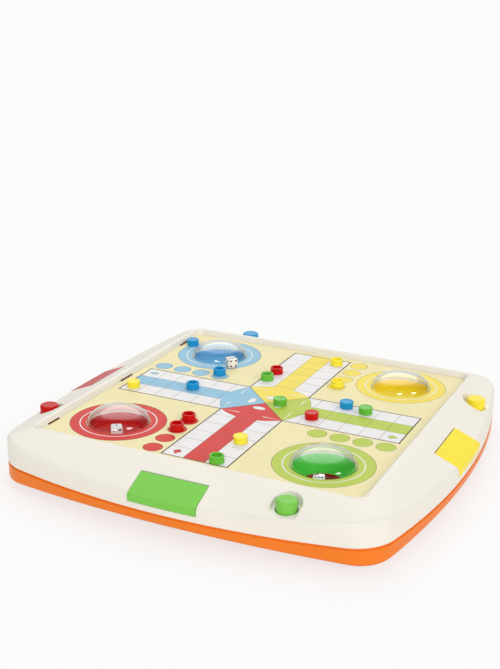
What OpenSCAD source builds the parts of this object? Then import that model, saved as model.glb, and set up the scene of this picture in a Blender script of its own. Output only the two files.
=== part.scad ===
// Reversible board game case: ludo on the upper face, snakes and ladders on the lower face.
// Millimetres, +Z up, origin on the table under the middle of the case.
// Each player's side is one set of pieces, repeated at quarter turns:
// green in front, yellow at the right, blue behind and red at the left.

/* [Case] */
// Half width of the case at the middle of each side
case_half = 190.5; // [187:0.5:196]
// Radius of the outward bow of each side, in plan
side_bow_r = 640; // [600:10:700]
// Radius of the four corners, in plan
corner_r = 38; // [34:1:44]
// Height of the lower shell, from the table to the parting line
base_h = 21; // [20:0.5:23]
// Height of the upper shell, from the parting line to its ridge
upper_h = 29.5; // [28.5:0.5:32]
// Thickness of both shells
wall = 2.5; // [2.2:0.1:2.8]
// Fall of the upper rim outside its ridge, in degrees
upper_fall = 23; // [20:0.5:24]
// Fall of the lower rim outside its ridge, in degrees
base_fall = 17; // [14:0.5:18]
// Width of the flat land along each ridge
ridge_land = 2; // [1.5:0.25:3]
// Height of the shadow groove under the parting line
groove_h = 1.8; // [1.2:0.2:3]
// Depth of the shadow groove
groove_d = 1.4; // [1:0.1:1.6]
// Height of the locating lip that stands inside the upper shell
lip_rise = 3; // [2:0.5:4]
// Thickness of the locating lip
lip_t = 1.6; // [1.4:0.1:2]

/* [Boards] */
// Half width of the square printed boards
board_half = 145; // [142:0.5:146]
// Corner radius of the boards and their recesses
board_corner_r = 5; // [3:0.5:7]
// Thickness of the printed cards
card_t = 0.8; // [0.6:0.1:1.2]
// Depth of each card below the ridge of its shell
recess = 5.2; // [4.8:0.2:6]
// How far each recess wall leans outward from card to ridge
recess_lean = 3; // [2:0.5:4]
// Width of the ledge that carries the upper deck
ledge_w = 4; // [3:0.25:5]
// Length of the moulding slots at the foot of the recess walls
slot_len = 17; // [14:1:20]
// Height of the moulding slots
slot_h = 1.6; // [1.2:0.1:2]
// Distance of the outer moulding slots from the edge of the board
slot_in = 28; // [23:1:35]
// Reach of the moulding slots to each side of the ridge's inner edge
slot_reach = 5; // [4:0.25:6]

/* [Dice domes] */
// Distance of each dome's axis from the two nearest edges of the board
dome_in = 49; // [47:0.5:52]
// Outer radius of a dome where it passes the card
dome_r = 27.7; // [26:0.1:28.5]
// Height of a dome above the card
dome_h = 14; // [12:0.5:16]
// Thickness of a dome
dome_t = 1.4; // [1.2:0.1:1.8]
// Width of the flange that a dome or a cup hangs by
flange_w = 3.6; // [3:0.2:4.4]
// Thickness of those flanges
flange_t = 1.2; // [1:0.1:1.5]
// Depth of a dice cup's floor below the card
cup_depth = 8.5; // [8:0.25:9]
// Thickness of a dice cup
cup_t = 1.5; // [1.3:0.1:1.8]
// Radius of the fillet round a cup's floor
cup_fillet = 3; // [2:0.25:4]

/* [Poppers] */
// Radius of a popper button
button_r = 8.2; // [7.6:0.1:8.6]
// Height of a button above the floor of its well
button_rise = 8.5; // [7.5:0.25:9.5]
// Distance of a button's axis inside the middle of its rim
button_in = 1.75; // [0.25:0.25:4]
// Travel of a button
button_travel = 4; // [3:0.25:4.5]
// Radius of the round edge of a button
button_edge = 1.6; // [1.2:0.1:2]
// Reach of a button's flange past its hole
button_flange_w = 1.4; // [1:0.1:1.8]
// Thickness of a button's flange
button_flange_t = 1.6; // [1.2:0.1:2]
// Radius of a button's stem
stem_r = 3; // [2.6:0.1:3.4]
// Radius of the scooped well round a button
well_r = 12.2; // [11.6:0.1:13]
// Depth of a well at the button's axis
well_depth = 3.8; // [3.4:0.1:4.2]
// Distance of a lever's pivot from its dome's axis, towards the button
pivot_reach = 36; // [34:0.5:38]
// Half width of the paddle that strikes the die
paddle_half = 13; // [11:0.5:14]
// Length of the paddle along its lever
paddle_len = 14; // [13:0.5:15]
// Depth of the paddle below the floor of the dice cup
paddle_drop = 8; // [7:0.25:8.5]
// Distance of the paddle's centre from the dome's axis, towards the button
paddle_out = 9.5; // [9:0.25:10.5]
// Width of a popper lever
lever_w = 8; // [7:0.5:9]
// Thickness of a popper lever
lever_t = 4; // [3.4:0.2:4.6]
// Length of a lever past its button's stem
lever_tail = 2; // [1:0.25:3]
// Radius of a pivot pin
pivot_r = 1.5; // [1.3:0.1:1.7]
// Wall round a pivot pin, in its lever and its posts
hub_wall = 2.6; // [2.2:0.1:3]
// Thickness of a pivot post
post_t = 4; // [3:0.25:5]
// Height of a return spring's seat above the inside of the lower rim
seat_h = 2; // [1.5:0.25:3]
// Mean radius of a return spring
spring_r = 4.5; // [4:0.1:5]
// Wire radius of a return spring
spring_wire_r = 0.4; // [0.3:0.05:0.5]
// Turns of a return spring
spring_turns = 4; // [3:1:5]

/* [Stores] */
// Half length of a store's lid
lid_half = 30; // [28:0.5:32]
// Distance of a lid's hinge inside the middle of its side
lid_reach = 21.5; // [20:0.5:22.5]
// Thickness of a lid
lid_t = 3; // [2.8:0.1:3.4]
// Height of the lip that hangs over the side wall
lid_lip_h = 6.5; // [6:0.25:8]
// Thickness of that lip
lid_lip_t = 2.2; // [1.8:0.1:2.6]
// How far the lip stands proud of the side wall
lid_lip_proud = 0.8; // [0.5:0.1:1.2]
// Radius of a lid's hinge stubs
stub_r = 0.9; // [0.8:0.05:1]
// Length of a lid's hinge stubs
stub_len = 2.5; // [2:0.25:3]
// Half length of the store under a lid
store_half = 28; // [27.5:0.25:28.5]
// Thickness of a store's floor
store_floor_t = 2; // [1.6:0.1:2.6]

/* [Counters and dice] */
// Radius of a counter's foot
pawn_foot_r = 6.2; // [6:0.1:6.8]
// Radius of a counter's body
pawn_body_r = 5.9; // [5.4:0.1:6]
// Height of a counter
pawn_h = 6.2; // [5.6:0.1:7]
// Height of a counter's foot
pawn_foot_h = 2.4; // [2:0.1:3]
// Radius of the socket in a counter
pawn_socket_r = 4.2; // [3.8:0.1:4.6]
// Depth of that socket
pawn_socket_d = 4.2; // [3.6:0.1:4.8]
// Edge length of a die
die_size = 10; // [9:0.25:10.5]
// Radius of the ball that rounds a die's corners
die_ball_r = 7.4; // [7:0.1:7.8]

/* [Screws] */
// Radius of a case screw's shank
screw_r = 1.4; // [1.2:0.1:1.6]
// Length of the shank in its boss
screw_len = 14; // [12:1:16]
// Spare depth of a screw's bore past its tip
bore_spare = 2; // [1:0.25:3]
// Radius of a screw's head
screw_head_r = 2.8; // [2.5:0.1:3.1]
// Height of a screw's head
screw_head_h = 1.5; // [1.3:0.1:1.7]
// Radius of a screw boss
boss_r = 4.2; // [3.8:0.1:4.8]
// Distance of the corner screws from the two nearest edges of the board
screw_corner_in = 10; // [8:0.5:12]
// Distance of the inner screws from the centre line of their side
screw_across = 42; // [38:0.5:46]
// Distance of the inner screws from the nearest edge of the board
screw_edge_in = 23; // [19:0.5:27]

/* [Clearances] */
// Gap round parts that slide or turn past each other
run_gap = 0.5; // [0.4:0.05:0.6]
// Gap of a pin that turns in its bore
pin_gap = 0.05; // [0.03:0.01:0.08]
// Gap where one moulding locates in another
fit_gap = 0.3; // [0.25:0.05:0.4]
// Gap at each end of a paddle in its slot
paddle_end_gap = 2; // [1.5:0.25:2.5]
// Gap at each long side of a paddle in its slot
paddle_side_gap = 1.5; // [1.25:0.25:2]
// Open gap round a button in its well
button_gap = 0.9; // [0.7:0.1:1.1]
// Open gap round a dome in the card
dome_gap = 0.9; // [0.7:0.1:1.1]

/* [Hidden] */
$fn = 64;
player_names = ["green", "yellow", "blue", "red"];
player_colours = ["#6fcf55", "#fbe64a", "#2a8fd0", "#d8121a"];
cup_colours = ["#4fb43c", "#f2cf2a", "#2f86c9", "#c4161c"];
cream = "#f3eee2";
orange = "#f97b1c";
steel = "#b8bcc0";
bite = 0.01;
far = 2 * case_half;

// Outline in plan: four bowed sides, blended into round corners
bow_c = side_bow_r - case_half;
blend_r = side_bow_r - corner_r;
corner_c = (sqrt(2 * pow(blend_r, 2) - pow(bow_c, 2)) - bow_c) / 2;

// Levels, from the table upward
case_h = base_h + upper_h;
snakes_z = recess;
base_deck_z = snakes_z + card_t;
base_deck_top = base_deck_z + wall;
ludo_z = case_h - recess;
ludo_deck_top = ludo_z - card_t;
ludo_deck_z = ludo_deck_top - wall;
ridge_in = board_half + recess_lean;
ridge_out = ridge_in + ridge_land;
lip_inset = wall + fit_gap;
slot_pitch = board_half - slot_in;
screw_corner = board_half - screw_corner_in;
screw_along = board_half - screw_edge_in;

// Dice cups and domes hang in a stepped hole that the card closes
dome_pos = board_half - dome_in;
flange_r = dome_r + flange_w;
shelf_z = ludo_deck_top - 2 * flange_t;
seat_r = flange_r + fit_gap;
cup_r = dome_r - fit_gap;
cup_hole_r = cup_r + fit_gap;
cup_floor_top = ludo_z - cup_depth;
cup_floor_z = cup_floor_top - cup_t;
cup_ring_z = shelf_z - wall;

// Poppers: button, lever and paddle, all on the line of the dome
button_out = (ridge_out + case_half) / 2 - button_in;
pivot_out = dome_pos + pivot_reach;
well_floor = roof(button_out) - well_depth;
button_hole_r = button_r + button_gap;
button_top = well_floor + button_rise;
button_flange_r = button_hole_r + button_flange_w;
rim_below = roof(button_out + button_flange_r) - wall / cos(upper_fall);
button_flange_top = min(well_floor - wall, rim_below) - fit_gap / 2;
button_arm = button_out - pivot_out;
paddle_arm = pivot_out - dome_pos - paddle_out;
paddle_top = cup_floor_top - paddle_drop;
pivot_z = paddle_top - lever_t / 2;
lever_z = paddle_top - lever_t;
cup_slot_half = paddle_half + paddle_end_gap;
cup_slot_len = paddle_len + 2 * paddle_side_gap;
hub_r = pivot_r + hub_wall;
pin_half = lever_w / 2 + run_gap + post_t;
spring_seat_r = spring_r + 2 * spring_wire_r;
stop_post_r = spring_r - 3 * spring_wire_r;
seat_z = base_inside(button_out + spring_seat_r) + seat_h;
stop_z = lever_z - button_travel - run_gap;
spring_low = seat_z + spring_wire_r + pin_gap;
spring_high = lever_z - spring_wire_r - fit_gap;

// Stores: lids lie flush in a notch of the rim and turn at their inner edge.
// Their lips hang in a pocket of the side wall
hinge_out = case_half - lid_reach;
hinge_slope = (hinge_out - ridge_out) / cos(upper_fall);
store_in = hinge_out + wall;
store_out = case_half - 2 * wall;
store_floor = base_h + store_floor_t;
store_block_half = lid_half + fit_gap + stub_len + wall;
lid_lip_z = roof(case_half) - lid_lip_h;
lid_lip_in = lid_lip_t - lid_lip_proud;

// Counters: place in squares of the track, owner and whether the socket faces up
squares_to_edge = 7.25;
square_w = board_half / squares_to_edge;
pawns = [
    [[0.9, -6.55], 0, true],
    [[0.65, 0.15], 0, false],
    [[4.45, 0.95], 0, false],
    [[-1.2, 2.75], 0, true],
    [[2.1, 3.5], 1, true],
    [[1, 6.2], 1, true],
    [[-6.35, -1], 1, false],
    [[0.9, -4.4], 1, false],
    [[-6.75, 5.55], 2, false],
    [[-3.8, 0.1], 2, true],
    [[-3.55, 2.35], 2, true],
    [[3.45, 1.2], 2, false],
    [[-2.1, -4.45], 3, true],
    [[-2.15, -3.3], 3, true],
    [[-1.15, 3.75], 3, true],
    [[2.55, -0.7], 3, false]
];
counters_each = 4;
// Dice: one on the paddle of the green cup, one on the floor of the red cup
// and one on the card, beside the blue dome
green_die_turn = 20;
red_die_at = [12, 5.5];
red_die_turn = 35;
loose_die_from_dome = [26, -25.5];
loose_die_at = [-dome_pos, dome_pos] + loose_die_from_dome;
loose_die_turn = 51;

// Height of the upper rim at a distance from the middle of the case
function roof(out) = case_h - (out - ridge_out) * tan(upper_fall);
// Height of the lower rim's inside at such a distance
function base_inside(out) = (out - ridge_out) * tan(base_fall) + wall / cos(base_fall);
// Reach of the outline along its diagonal, for a given inset
function corner_cut(inset) = (side_bow_r - inset) * (2 * corner_c + bow_c) / blend_r - bow_c;
// Name of a counter from its place in the list
function pawn_name(i) = str("pawn_", player_names[pawns[i][1]], "_", i % counters_each + 1);

// One piece for each player, turned to that player's side
module at_side(k) {
    rotate([0, 0, 90 * k])
    children();
}

module at_all_sides() {
    for (k = [0 : 3])
        at_side(k) children();
}

module case_outline(inset = 0) {
    intersection() {
        intersection_for (k = [0 : 3])
            rotate(90 * k) translate([0, bow_c]) circle(r = side_bow_r - inset, $fn = 256);
        rotate(45) square(corner_cut(inset) * sqrt(2), center = true);
    }
    for (x = [-1, 1], y = [-1, 1])
        translate([x * corner_c, y * corner_c]) circle(r = corner_r - inset);
}

module rounded_square(half, r) {
    square([2 * half, 2 * (half - r)], center = true);
    square([2 * (half - r), 2 * half], center = true);
    for (x = [-1, 1], y = [-1, 1])
        translate([x * (half - r), y * (half - r)]) circle(r = r);
}

// The rim's falling plane on the front side: its edge is the ridge, and +Z here is square to the rim
module on_upper_rim(drop = 0) {
    translate([0, -ridge_out, case_h - drop]) rotate([upper_fall, 0, 0]) children();
}

module above_upper_rim(drop) {
    on_upper_rim() translate([-far, -far, -drop]) cube([2 * far, far, far]);
}

module below_base_rim(lift) {
    translate([0, -ridge_out, 0]) rotate([-base_fall, 0, 0])
        translate([-far, -far, lift - far]) cube([2 * far, far, far]);
}

// Outer form of the upper shell, or its inside when inset by the wall
module upper_form(inset = 0) {
    difference() {
        translate([0, 0, base_h - inset]) linear_extrude(upper_h) case_outline(inset);
        at_all_sides() above_upper_rim(inset);
    }
}

module base_form(inset = 0) {
    difference() {
        translate([0, 0, inset]) linear_extrude(base_h) case_outline(inset);
        at_all_sides() below_base_rim(inset);
    }
}

// Leaning recess over a card, widest at the ridge
module card_recess() {
    lean_h = recess + card_t;
    hull()
        for (x = [-1, 1], y = [-1, 1])
            translate([x * (board_half - board_corner_r), y * (board_half - board_corner_r), 0])
                cylinder(h = lean_h, r1 = board_corner_r, r2 = board_corner_r + recess_lean, $fn = 32);
    translate([0, 0, lean_h - bite]) linear_extrude(wall)
        rounded_square(ridge_in, board_corner_r + recess_lean);
}

module recess_slots() {
    for (side = [-1, 1], step = [-1 : 1])
        translate([side * ridge_in, step * slot_pitch, slot_h / 2])
            cube([2 * slot_reach, slot_len, slot_h], center = true);
}

module at_screws() {
    at_all_sides() {
        translate([screw_corner, -screw_corner, 0]) children();
        translate([screw_across, -screw_along, 0]) children();
    }
}

module at_dome() {
    translate([dome_pos, -dome_pos, 0]) children();
}

module at_button() {
    translate([dome_pos, -button_out, 0]) children();
}

// Pin-like rod along X, at the hinge of a front lid or at a lever's pivot
module rod_x(r, half) {
    rotate([0, 90, 0]) cylinder(r = r, h = 2 * half, center = true);
}

module at_hinge() {
    on_upper_rim() translate([0, -hinge_slope, -lid_t / 2]) children();
}

module ludo_frame() {
    color(cream)
    difference() {
        union() {
            upper_shell();
            intersection() {
                upper_form();
                at_all_sides() {
                    at_button() translate([0, 0, well_floor - wall])
                        linear_extrude(upper_h) well_outline(well_r + wall);
                    store_block();
                }
            }
        }
        translate([0, 0, ludo_deck_top]) card_recess();
        translate([0, 0, ludo_deck_top + card_t]) recess_slots();
        deck_opening();
        at_all_sides() {
            well_cut();
            store_cut();
        }
    }
}

// Opening that the deck drops into, with the ledge that carries its edge
module deck_opening() {
    translate([0, 0, ludo_deck_z]) linear_extrude(wall + bite) rounded_square(board_half, board_corner_r);
    translate([0, 0, base_h]) linear_extrude(upper_h) square(2 * (board_half - ledge_w), center = true);
}

// Plate under the ludo card, with the seats of the cups and domes and the bosses of the case screws
module ludo_deck() {
    color(cream)
    difference() {
        union() {
            translate([0, 0, ludo_deck_z]) linear_extrude(wall)
                rounded_square(board_half - fit_gap, board_corner_r);
            at_all_sides() at_dome() translate([0, 0, cup_ring_z])
                cylinder(r = seat_r + wall, h = ludo_deck_top - cup_ring_z);
            at_screws() translate([0, 0, base_deck_top])
                cylinder(r = boss_r, h = ludo_deck_z - base_deck_top + bite);
        }
        at_all_sides() cup_seat_cut();
        at_screws() translate([0, 0, base_deck_top - bite])
            cylinder(r = screw_r + pin_gap, h = screw_len + bore_spare);
    }
}

module upper_shell() {
    keep_half = ridge_in + wall;
    difference() {
        upper_form();
        difference() {
            upper_form(wall);
            translate([-keep_half, -keep_half, ludo_deck_z - wall])
                cube([2 * keep_half, 2 * keep_half, upper_h]);
        }
    }
}

module store_block() {
    translate([-store_block_half, -case_half, base_h])
        cube([2 * store_block_half, case_half - hinge_out + lid_t + wall, upper_h]);
}

// Well in plan: round behind its button, with straight flanks that run out down the rim
module well_outline(r) {
    circle(r = r);
    translate([-r, -far]) square([2 * r, far]);
}

module well_cut() {
    at_button() {
        translate([0, 0, well_floor]) linear_extrude(upper_h) well_outline(well_r);
        translate([0, 0, base_h]) cylinder(r = button_hole_r, h = upper_h);
    }
}

module store_cut() {
    notch_half = lid_half + fit_gap;
    pocket_half = lid_half + run_gap;
    notch_back = hinge_slope - lid_t / 2 - run_gap;
    on_upper_rim() translate([-notch_half, -far, -lid_t - fit_gap])
        cube([2 * notch_half, far - notch_back, 2 * lid_t]);
    translate([-store_half, -store_out, store_floor])
        cube([2 * store_half, store_out - store_in, upper_h]);
    translate([0, 0, lid_lip_z - run_gap]) linear_extrude(upper_h) difference() {
        translate([-pocket_half, -far]) square([2 * pocket_half, far]);
        case_outline(lid_lip_in + fit_gap);
    }
    at_hinge() rod_x(stub_r + pin_gap, notch_half + stub_len);
}

module cup_seat_cut() {
    at_dome() {
        translate([0, 0, shelf_z]) cylinder(r = seat_r, h = upper_h);
        translate([0, 0, base_h]) cylinder(r = cup_hole_r, h = upper_h);
    }
}

module base_frame() {
    color(orange)
    difference() {
        union() {
            base_shell();
            locating_lip();
            at_all_sides() {
                pivot_posts();
                spring_seat();
            }
        }
        translate([0, 0, base_h - groove_h]) linear_extrude(groove_h + bite) difference() {
            case_outline(-wall);
            case_outline(groove_d);
        }
        translate([0, 0, base_deck_z]) mirror([0, 0, 1]) card_recess();
        translate([0, 0, snakes_z]) mirror([0, 0, 1]) rotate(90) recess_slots();
        at_all_sides() translate([dome_pos, -pivot_out, pivot_z]) rod_x(pivot_r + pin_gap, pin_half + wall);
        at_screws() {
            translate([0, 0, base_deck_z - bite])
                cylinder(r = screw_head_r + fit_gap, h = screw_head_h + bite);
            cylinder(r = screw_r + fit_gap, h = base_h);
        }
    }
}

module base_shell() {
    keep_half = ridge_in + wall;
    difference() {
        base_form();
        difference() {
            base_form(wall);
            translate([-keep_half, -keep_half, base_deck_top - far])
                cube([2 * keep_half, 2 * keep_half, far]);
        }
    }
}

// Band inside the side wall, with a lip that stands up inside the upper shell, clear of the stores
module locating_lip() {
    gap_half = store_block_half + run_gap;
    band_z = base_h - groove_h - wall;
    translate([0, 0, band_z]) linear_extrude(base_h - band_z) difference() {
        case_outline(groove_d);
        case_outline(lip_inset + lip_t);
    }
    difference() {
        translate([0, 0, base_h - wall]) linear_extrude(wall + lip_rise) difference() {
            case_outline(lip_inset);
            case_outline(lip_inset + lip_t);
        }
        at_all_sides() translate([-gap_half, -far, base_h]) cube([2 * gap_half, far, far]);
    }
}

module pivot_posts() {
    for (x = [-1, 1])
        translate([dome_pos + x * (pin_half - post_t / 2), -pivot_out, 0]) {
            translate([-post_t / 2, -hub_r, base_deck_top - bite])
                cube([post_t, 2 * hub_r, pivot_z - base_deck_top + bite]);
            translate([0, 0, pivot_z]) rod_x(hub_r, post_t / 2);
        }
}

// Seat of a return spring, with a post inside the spring that stops the lever
module spring_seat() {
    difference() {
        at_button() {
            cylinder(r = spring_seat_r, h = seat_z);
            cylinder(r = stop_post_r, h = stop_z);
        }
        below_base_rim(wall / 2);
    }
}

module ludo_board() {
    color("#f5e9be")
    translate([0, 0, ludo_deck_top])
    linear_extrude(card_t) difference() {
        rounded_square(board_half - fit_gap, board_corner_r);
        at_all_sides() translate([dome_pos, -dome_pos]) circle(r = dome_r + dome_gap);
    }
}

module snakes_board() {
    color("#a4ce76")
    translate([0, 0, snakes_z])
    linear_extrude(card_t) rounded_square(board_half - fit_gap, board_corner_r);
}

module case_screws() {
    color(steel)
    at_screws() translate([0, 0, base_deck_z]) {
        cylinder(r = screw_head_r, h = screw_head_h);
        cylinder(r = screw_r, h = base_deck_top - base_deck_z + screw_len);
    }
}

module lever_pins() {
    color(steel)
    at_all_sides() translate([dome_pos, -pivot_out, pivot_z]) rod_x(pivot_r, pin_half);
}

// Quarter of an ellipse, from its foot on X up to its top on Z
function dome_arc(r, h, steps = 16) =
    [for (i = [0 : steps]) [r * cos(90 * i / steps), h * sin(90 * i / steps)]];
function reversed(list) = [for (i = [len(list) - 1 : -1 : 0]) list[i]];

module dome(k) {
    rise = dome_h + card_t;
    profile = concat(
        [[flange_r, -flange_t], [flange_r, 0], [dome_r, 0]],
        dome_arc(dome_r, rise),
        reversed(dome_arc(dome_r - dome_t, rise - dome_t)),
        [[dome_r - dome_t, -flange_t]]
    );
    color("white", 0.35)
    at_side(k) at_dome() translate([0, 0, ludo_deck_top]) rotate_extrude() polygon(profile);
}

module dice_cup(k) {
    inner_r = cup_r - cup_t;
    steps = 4;
    fillet = [for (i = [0 : steps]) [
        inner_r - cup_fillet + cup_fillet * sin(90 * i / steps),
        cup_floor_top + cup_fillet - cup_fillet * cos(90 * i / steps)
    ]];
    profile = concat(
        [[0, cup_floor_z], [0, cup_floor_top]],
        fillet,
        [[inner_r, shelf_z + flange_t], [flange_r, shelf_z + flange_t]],
        [[flange_r, shelf_z], [cup_r, shelf_z], [cup_r, cup_floor_z]]
    );
    color(cup_colours[k])
    at_side(k) at_dome() difference() {
        rotate_extrude() polygon(profile);
        translate([0, -paddle_out, cup_floor_z])
            cube([2 * cup_slot_half, cup_slot_len, 3 * cup_t], center = true);
    }
}

module popper_lever(k) {
    tail = button_arm + stem_r + lever_tail;
    color("#4a3f3a")
    at_side(k) difference() {
        union() {
            translate([dome_pos - lever_w / 2, -pivot_out - tail, lever_z])
                cube([lever_w, tail + paddle_arm, lever_t]);
            translate([dome_pos, -pivot_out + paddle_arm, pivot_z])
                cube([2 * paddle_half, paddle_len, lever_t], center = true);
            translate([dome_pos, -pivot_out, pivot_z]) rod_x(hub_r, lever_w / 2);
        }
        translate([dome_pos, -pivot_out, pivot_z]) rod_x(pivot_r + pin_gap, lever_w);
    }
}

// Round wire wound up a helix, as rings of a swept hexagon
module coil(mean_r, wire_r, low, high, turns) {
    sides = 6;
    rings_per_turn = 10;
    rings = rings_per_turn * turns;
    points = [for (i = [0 : rings], s = [0 : sides - 1])
        let (a = 360 * turns * i / rings, b = 360 * s / sides, r = mean_r + wire_r * cos(b))
        [r * cos(a), r * sin(a), low + (high - low) * i / rings + wire_r * sin(b)]];
    walls = [for (i = [0 : rings - 1], s = [0 : sides - 1], half = [0, 1])
        let (p = i * sides + s, q = i * sides + (s + 1) % sides)
        half == 0 ? [p, p + sides, q] : [q, p + sides, q + sides]];
    low_cap = [for (s = [1 : sides - 2]) [0, s, s + 1]];
    high_cap = [for (s = [1 : sides - 2]) [rings * sides, rings * sides + s + 1, rings * sides + s]];
    polyhedron(points, concat(walls, low_cap, high_cap));
}

module popper_spring(k) {
    color(steel)
    at_side(k) at_button() coil(spring_r, spring_wire_r, spring_low, spring_high, spring_turns);
}

module popper_button(k) {
    stem_z = paddle_top + fit_gap / 2;
    cap_h = button_top - button_flange_top;
    color(player_colours[k])
    at_side(k) at_button() {
        translate([0, 0, button_flange_top]) rotate_extrude() {
            square([button_r, cap_h - button_edge]);
            square([button_r - button_edge, cap_h]);
            intersection() {
                translate([button_r - button_edge, cap_h - button_edge]) circle(r = button_edge);
                square([button_r, cap_h]);
            }
        }
        translate([0, 0, button_flange_top - button_flange_t])
            cylinder(r = button_flange_r, h = button_flange_t);
        translate([0, 0, stem_z + stem_r])
            cylinder(r = stem_r, h = button_flange_top - stem_z - stem_r);
        translate([0, 0, stem_z + stem_r]) sphere(r = stem_r);
    }
}

module store_lid(k) {
    color(player_colours[k])
    at_side(k) {
        difference() {
            intersection() {
                translate([0, 0, lid_lip_z]) linear_extrude(upper_h) case_outline(-lid_lip_proud);
                translate([-lid_half, -far, 0]) cube([2 * lid_half, far, far]);
            }
            above_upper_rim(0);
            on_upper_rim() translate([-far, -hinge_slope - run_gap / 2, -far]) cube([2 * far, far, 2 * far]);
            intersection() {
                linear_extrude(far) case_outline(lid_lip_in);
                on_upper_rim() translate([-far, -far, -lid_t - far]) cube([2 * far, 2 * far, far]);
            }
        }
        at_hinge() rod_x(lid_t / 2 - pin_gap, lid_half);
        at_hinge() rod_x(stub_r, lid_half + stub_len);
    }
}

module die() {
    intersection() {
        cube(die_size, center = true);
        sphere(r = die_ball_r);
    }
}

module green_cup_die() {
    color("white")
    at_dome() translate([0, -paddle_out, paddle_top + die_size / 2])
        rotate([0, 0, green_die_turn]) die();
}

module red_cup_die() {
    color("white")
    at_side(3) at_dome() translate([red_die_at.x, red_die_at.y, cup_floor_top + die_size / 2])
        rotate([0, 0, red_die_turn]) die();
}

module loose_die() {
    color("white")
    translate([loose_die_at.x, loose_die_at.y, ludo_z + die_size / 2])
    rotate([0, 0, loose_die_turn]) die();
}

// Stepped counter with a socket in its narrow end, either way up
module pawn(i) {
    place = pawns[i][0] * square_w;
    color(player_colours[pawns[i][1]])
    translate([place.x, place.y, ludo_z])
    mirror([0, 0, pawns[i][2] ? 0 : 1])
    translate([0, 0, pawns[i][2] ? 0 : -pawn_h])
    rotate_extrude() polygon([
        [0, 0], [pawn_foot_r, 0], [pawn_foot_r, pawn_foot_h],
        [pawn_body_r, pawn_foot_h], [pawn_body_r, pawn_h],
        [pawn_socket_r, pawn_h], [pawn_socket_r, pawn_h - pawn_socket_d], [0, pawn_h - pawn_socket_d]
    ]);
}

ludo_frame();
ludo_deck();
base_frame();
ludo_board();
snakes_board();
case_screws();
lever_pins();
for (k = [0 : 3]) {
    dome(k);
    dice_cup(k);
    popper_lever(k);
    popper_spring(k);
    popper_button(k);
    store_lid(k);
}
green_cup_die();
red_cup_die();
loose_die();
for (i = [0 : len(pawns) - 1]) {
    pawn(i);
}
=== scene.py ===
# %% [markdown]
# # A reversible board game case
# The case is a moulded toy with a printed card on each face: ludo above, snakes and ladders below. Each
# side has a popper button that rocks a lever under a clear dice dome, and a flap over a store for counters.
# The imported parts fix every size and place, so the first step loads them and keeps their box.

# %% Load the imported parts
import math

import bmesh
import bpy
from mathutils import Matrix, Quaternion, Vector
from mathutils.geometry import delaunay_2d_cdt


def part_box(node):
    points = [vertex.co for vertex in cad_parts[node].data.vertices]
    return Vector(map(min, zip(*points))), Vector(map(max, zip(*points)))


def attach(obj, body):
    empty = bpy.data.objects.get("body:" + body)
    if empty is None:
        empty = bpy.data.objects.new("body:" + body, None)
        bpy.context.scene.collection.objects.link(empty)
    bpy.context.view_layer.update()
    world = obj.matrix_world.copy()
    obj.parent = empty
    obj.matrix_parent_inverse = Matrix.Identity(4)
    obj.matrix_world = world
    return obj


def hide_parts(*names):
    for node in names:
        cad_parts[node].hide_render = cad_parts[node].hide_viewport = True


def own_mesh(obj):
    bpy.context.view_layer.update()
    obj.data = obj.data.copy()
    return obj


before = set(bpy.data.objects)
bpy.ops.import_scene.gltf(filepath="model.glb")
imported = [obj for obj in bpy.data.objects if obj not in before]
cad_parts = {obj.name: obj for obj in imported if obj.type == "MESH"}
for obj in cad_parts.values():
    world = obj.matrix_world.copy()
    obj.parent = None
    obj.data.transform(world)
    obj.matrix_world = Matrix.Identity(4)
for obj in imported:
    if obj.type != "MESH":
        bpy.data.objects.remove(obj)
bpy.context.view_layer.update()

MM = 0.001

# %% [markdown]
# ## Measures
# Most measures are read from the boxes of the parts. A box can't tell how a side bows or how steeply a rim
# falls, so those few design sizes are repeated here. All later shapes are worked out from these values.

# %% Measures from the frame and from the design
PLAYERS = ("green", "yellow", "blue", "red")  # front, right, back and left side
rim_low, rim_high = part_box("ludo_frame")
case_half, parting_z, ridge_z = rim_high.x, rim_low.z, rim_high.z
deck_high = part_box("ludo_deck")[1]
card_low, card_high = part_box("ludo_board")
snakes_low, snakes_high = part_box("snakes_board")
FIT_GAP = 0.3 * MM
board_half = card_high.x + FIT_GAP
SIDE_BOW_R = 640 * MM
CORNER_R = 38 * MM
BOARD_CORNER_R = 5 * MM
RECESS_LEAN = 3 * MM
RIDGE_LAND = 2 * MM
WALL = 2.5 * MM
UPPER_FALL = math.radians(23)
BASE_FALL = math.radians(17)
ridge_in = board_half + RECESS_LEAN
ridge_out = ridge_in + RIDGE_LAND
wall_block = ridge_in + WALL
print("case, board and ridge in mm", [round(x / MM, 2) for x in (case_half, board_half, ridge_z)])

# %% [markdown]
# ## Camera
# The photograph looks down on the case from its front right with a mild telephoto view. The angles and the
# place below come from matching the ludo track, the lids and the rims, so that the render can be laid over
# the photograph.

# %% Camera at the photograph's view


def linked(name, data):
    """A new object in the scene."""
    made = bpy.data.objects.new(name, data)
    bpy.context.scene.collection.objects.link(made)
    return made


CAMERA_AT = Vector((0.3948, -0.8618, 0.4300))
CAMERA_AZIMUTH = math.radians(-25.51)
CAMERA_ELEVATION = math.radians(18.62)
CAMERA_ROLL = math.radians(0.70)
CAMERA_LENS, SENSOR_WIDTH = 60.64, 36
look = Vector((
    math.sin(CAMERA_AZIMUTH) * math.cos(CAMERA_ELEVATION),
    math.cos(CAMERA_AZIMUTH) * math.cos(CAMERA_ELEVATION),
    -math.sin(CAMERA_ELEVATION),
))
camera = linked("camera", bpy.data.cameras.new("camera"))
camera.rotation_mode = "QUATERNION"
camera.location = CAMERA_AT
camera.rotation_quaternion = look.to_track_quat("-Z", "Y") @ Quaternion((0, 0, 1), CAMERA_ROLL)
camera.data.lens = CAMERA_LENS
camera.data.sensor_width = SENSOR_WIDTH
bpy.context.scene.camera = camera
print("camera looks along", [round(x, 3) for x in look])

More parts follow.
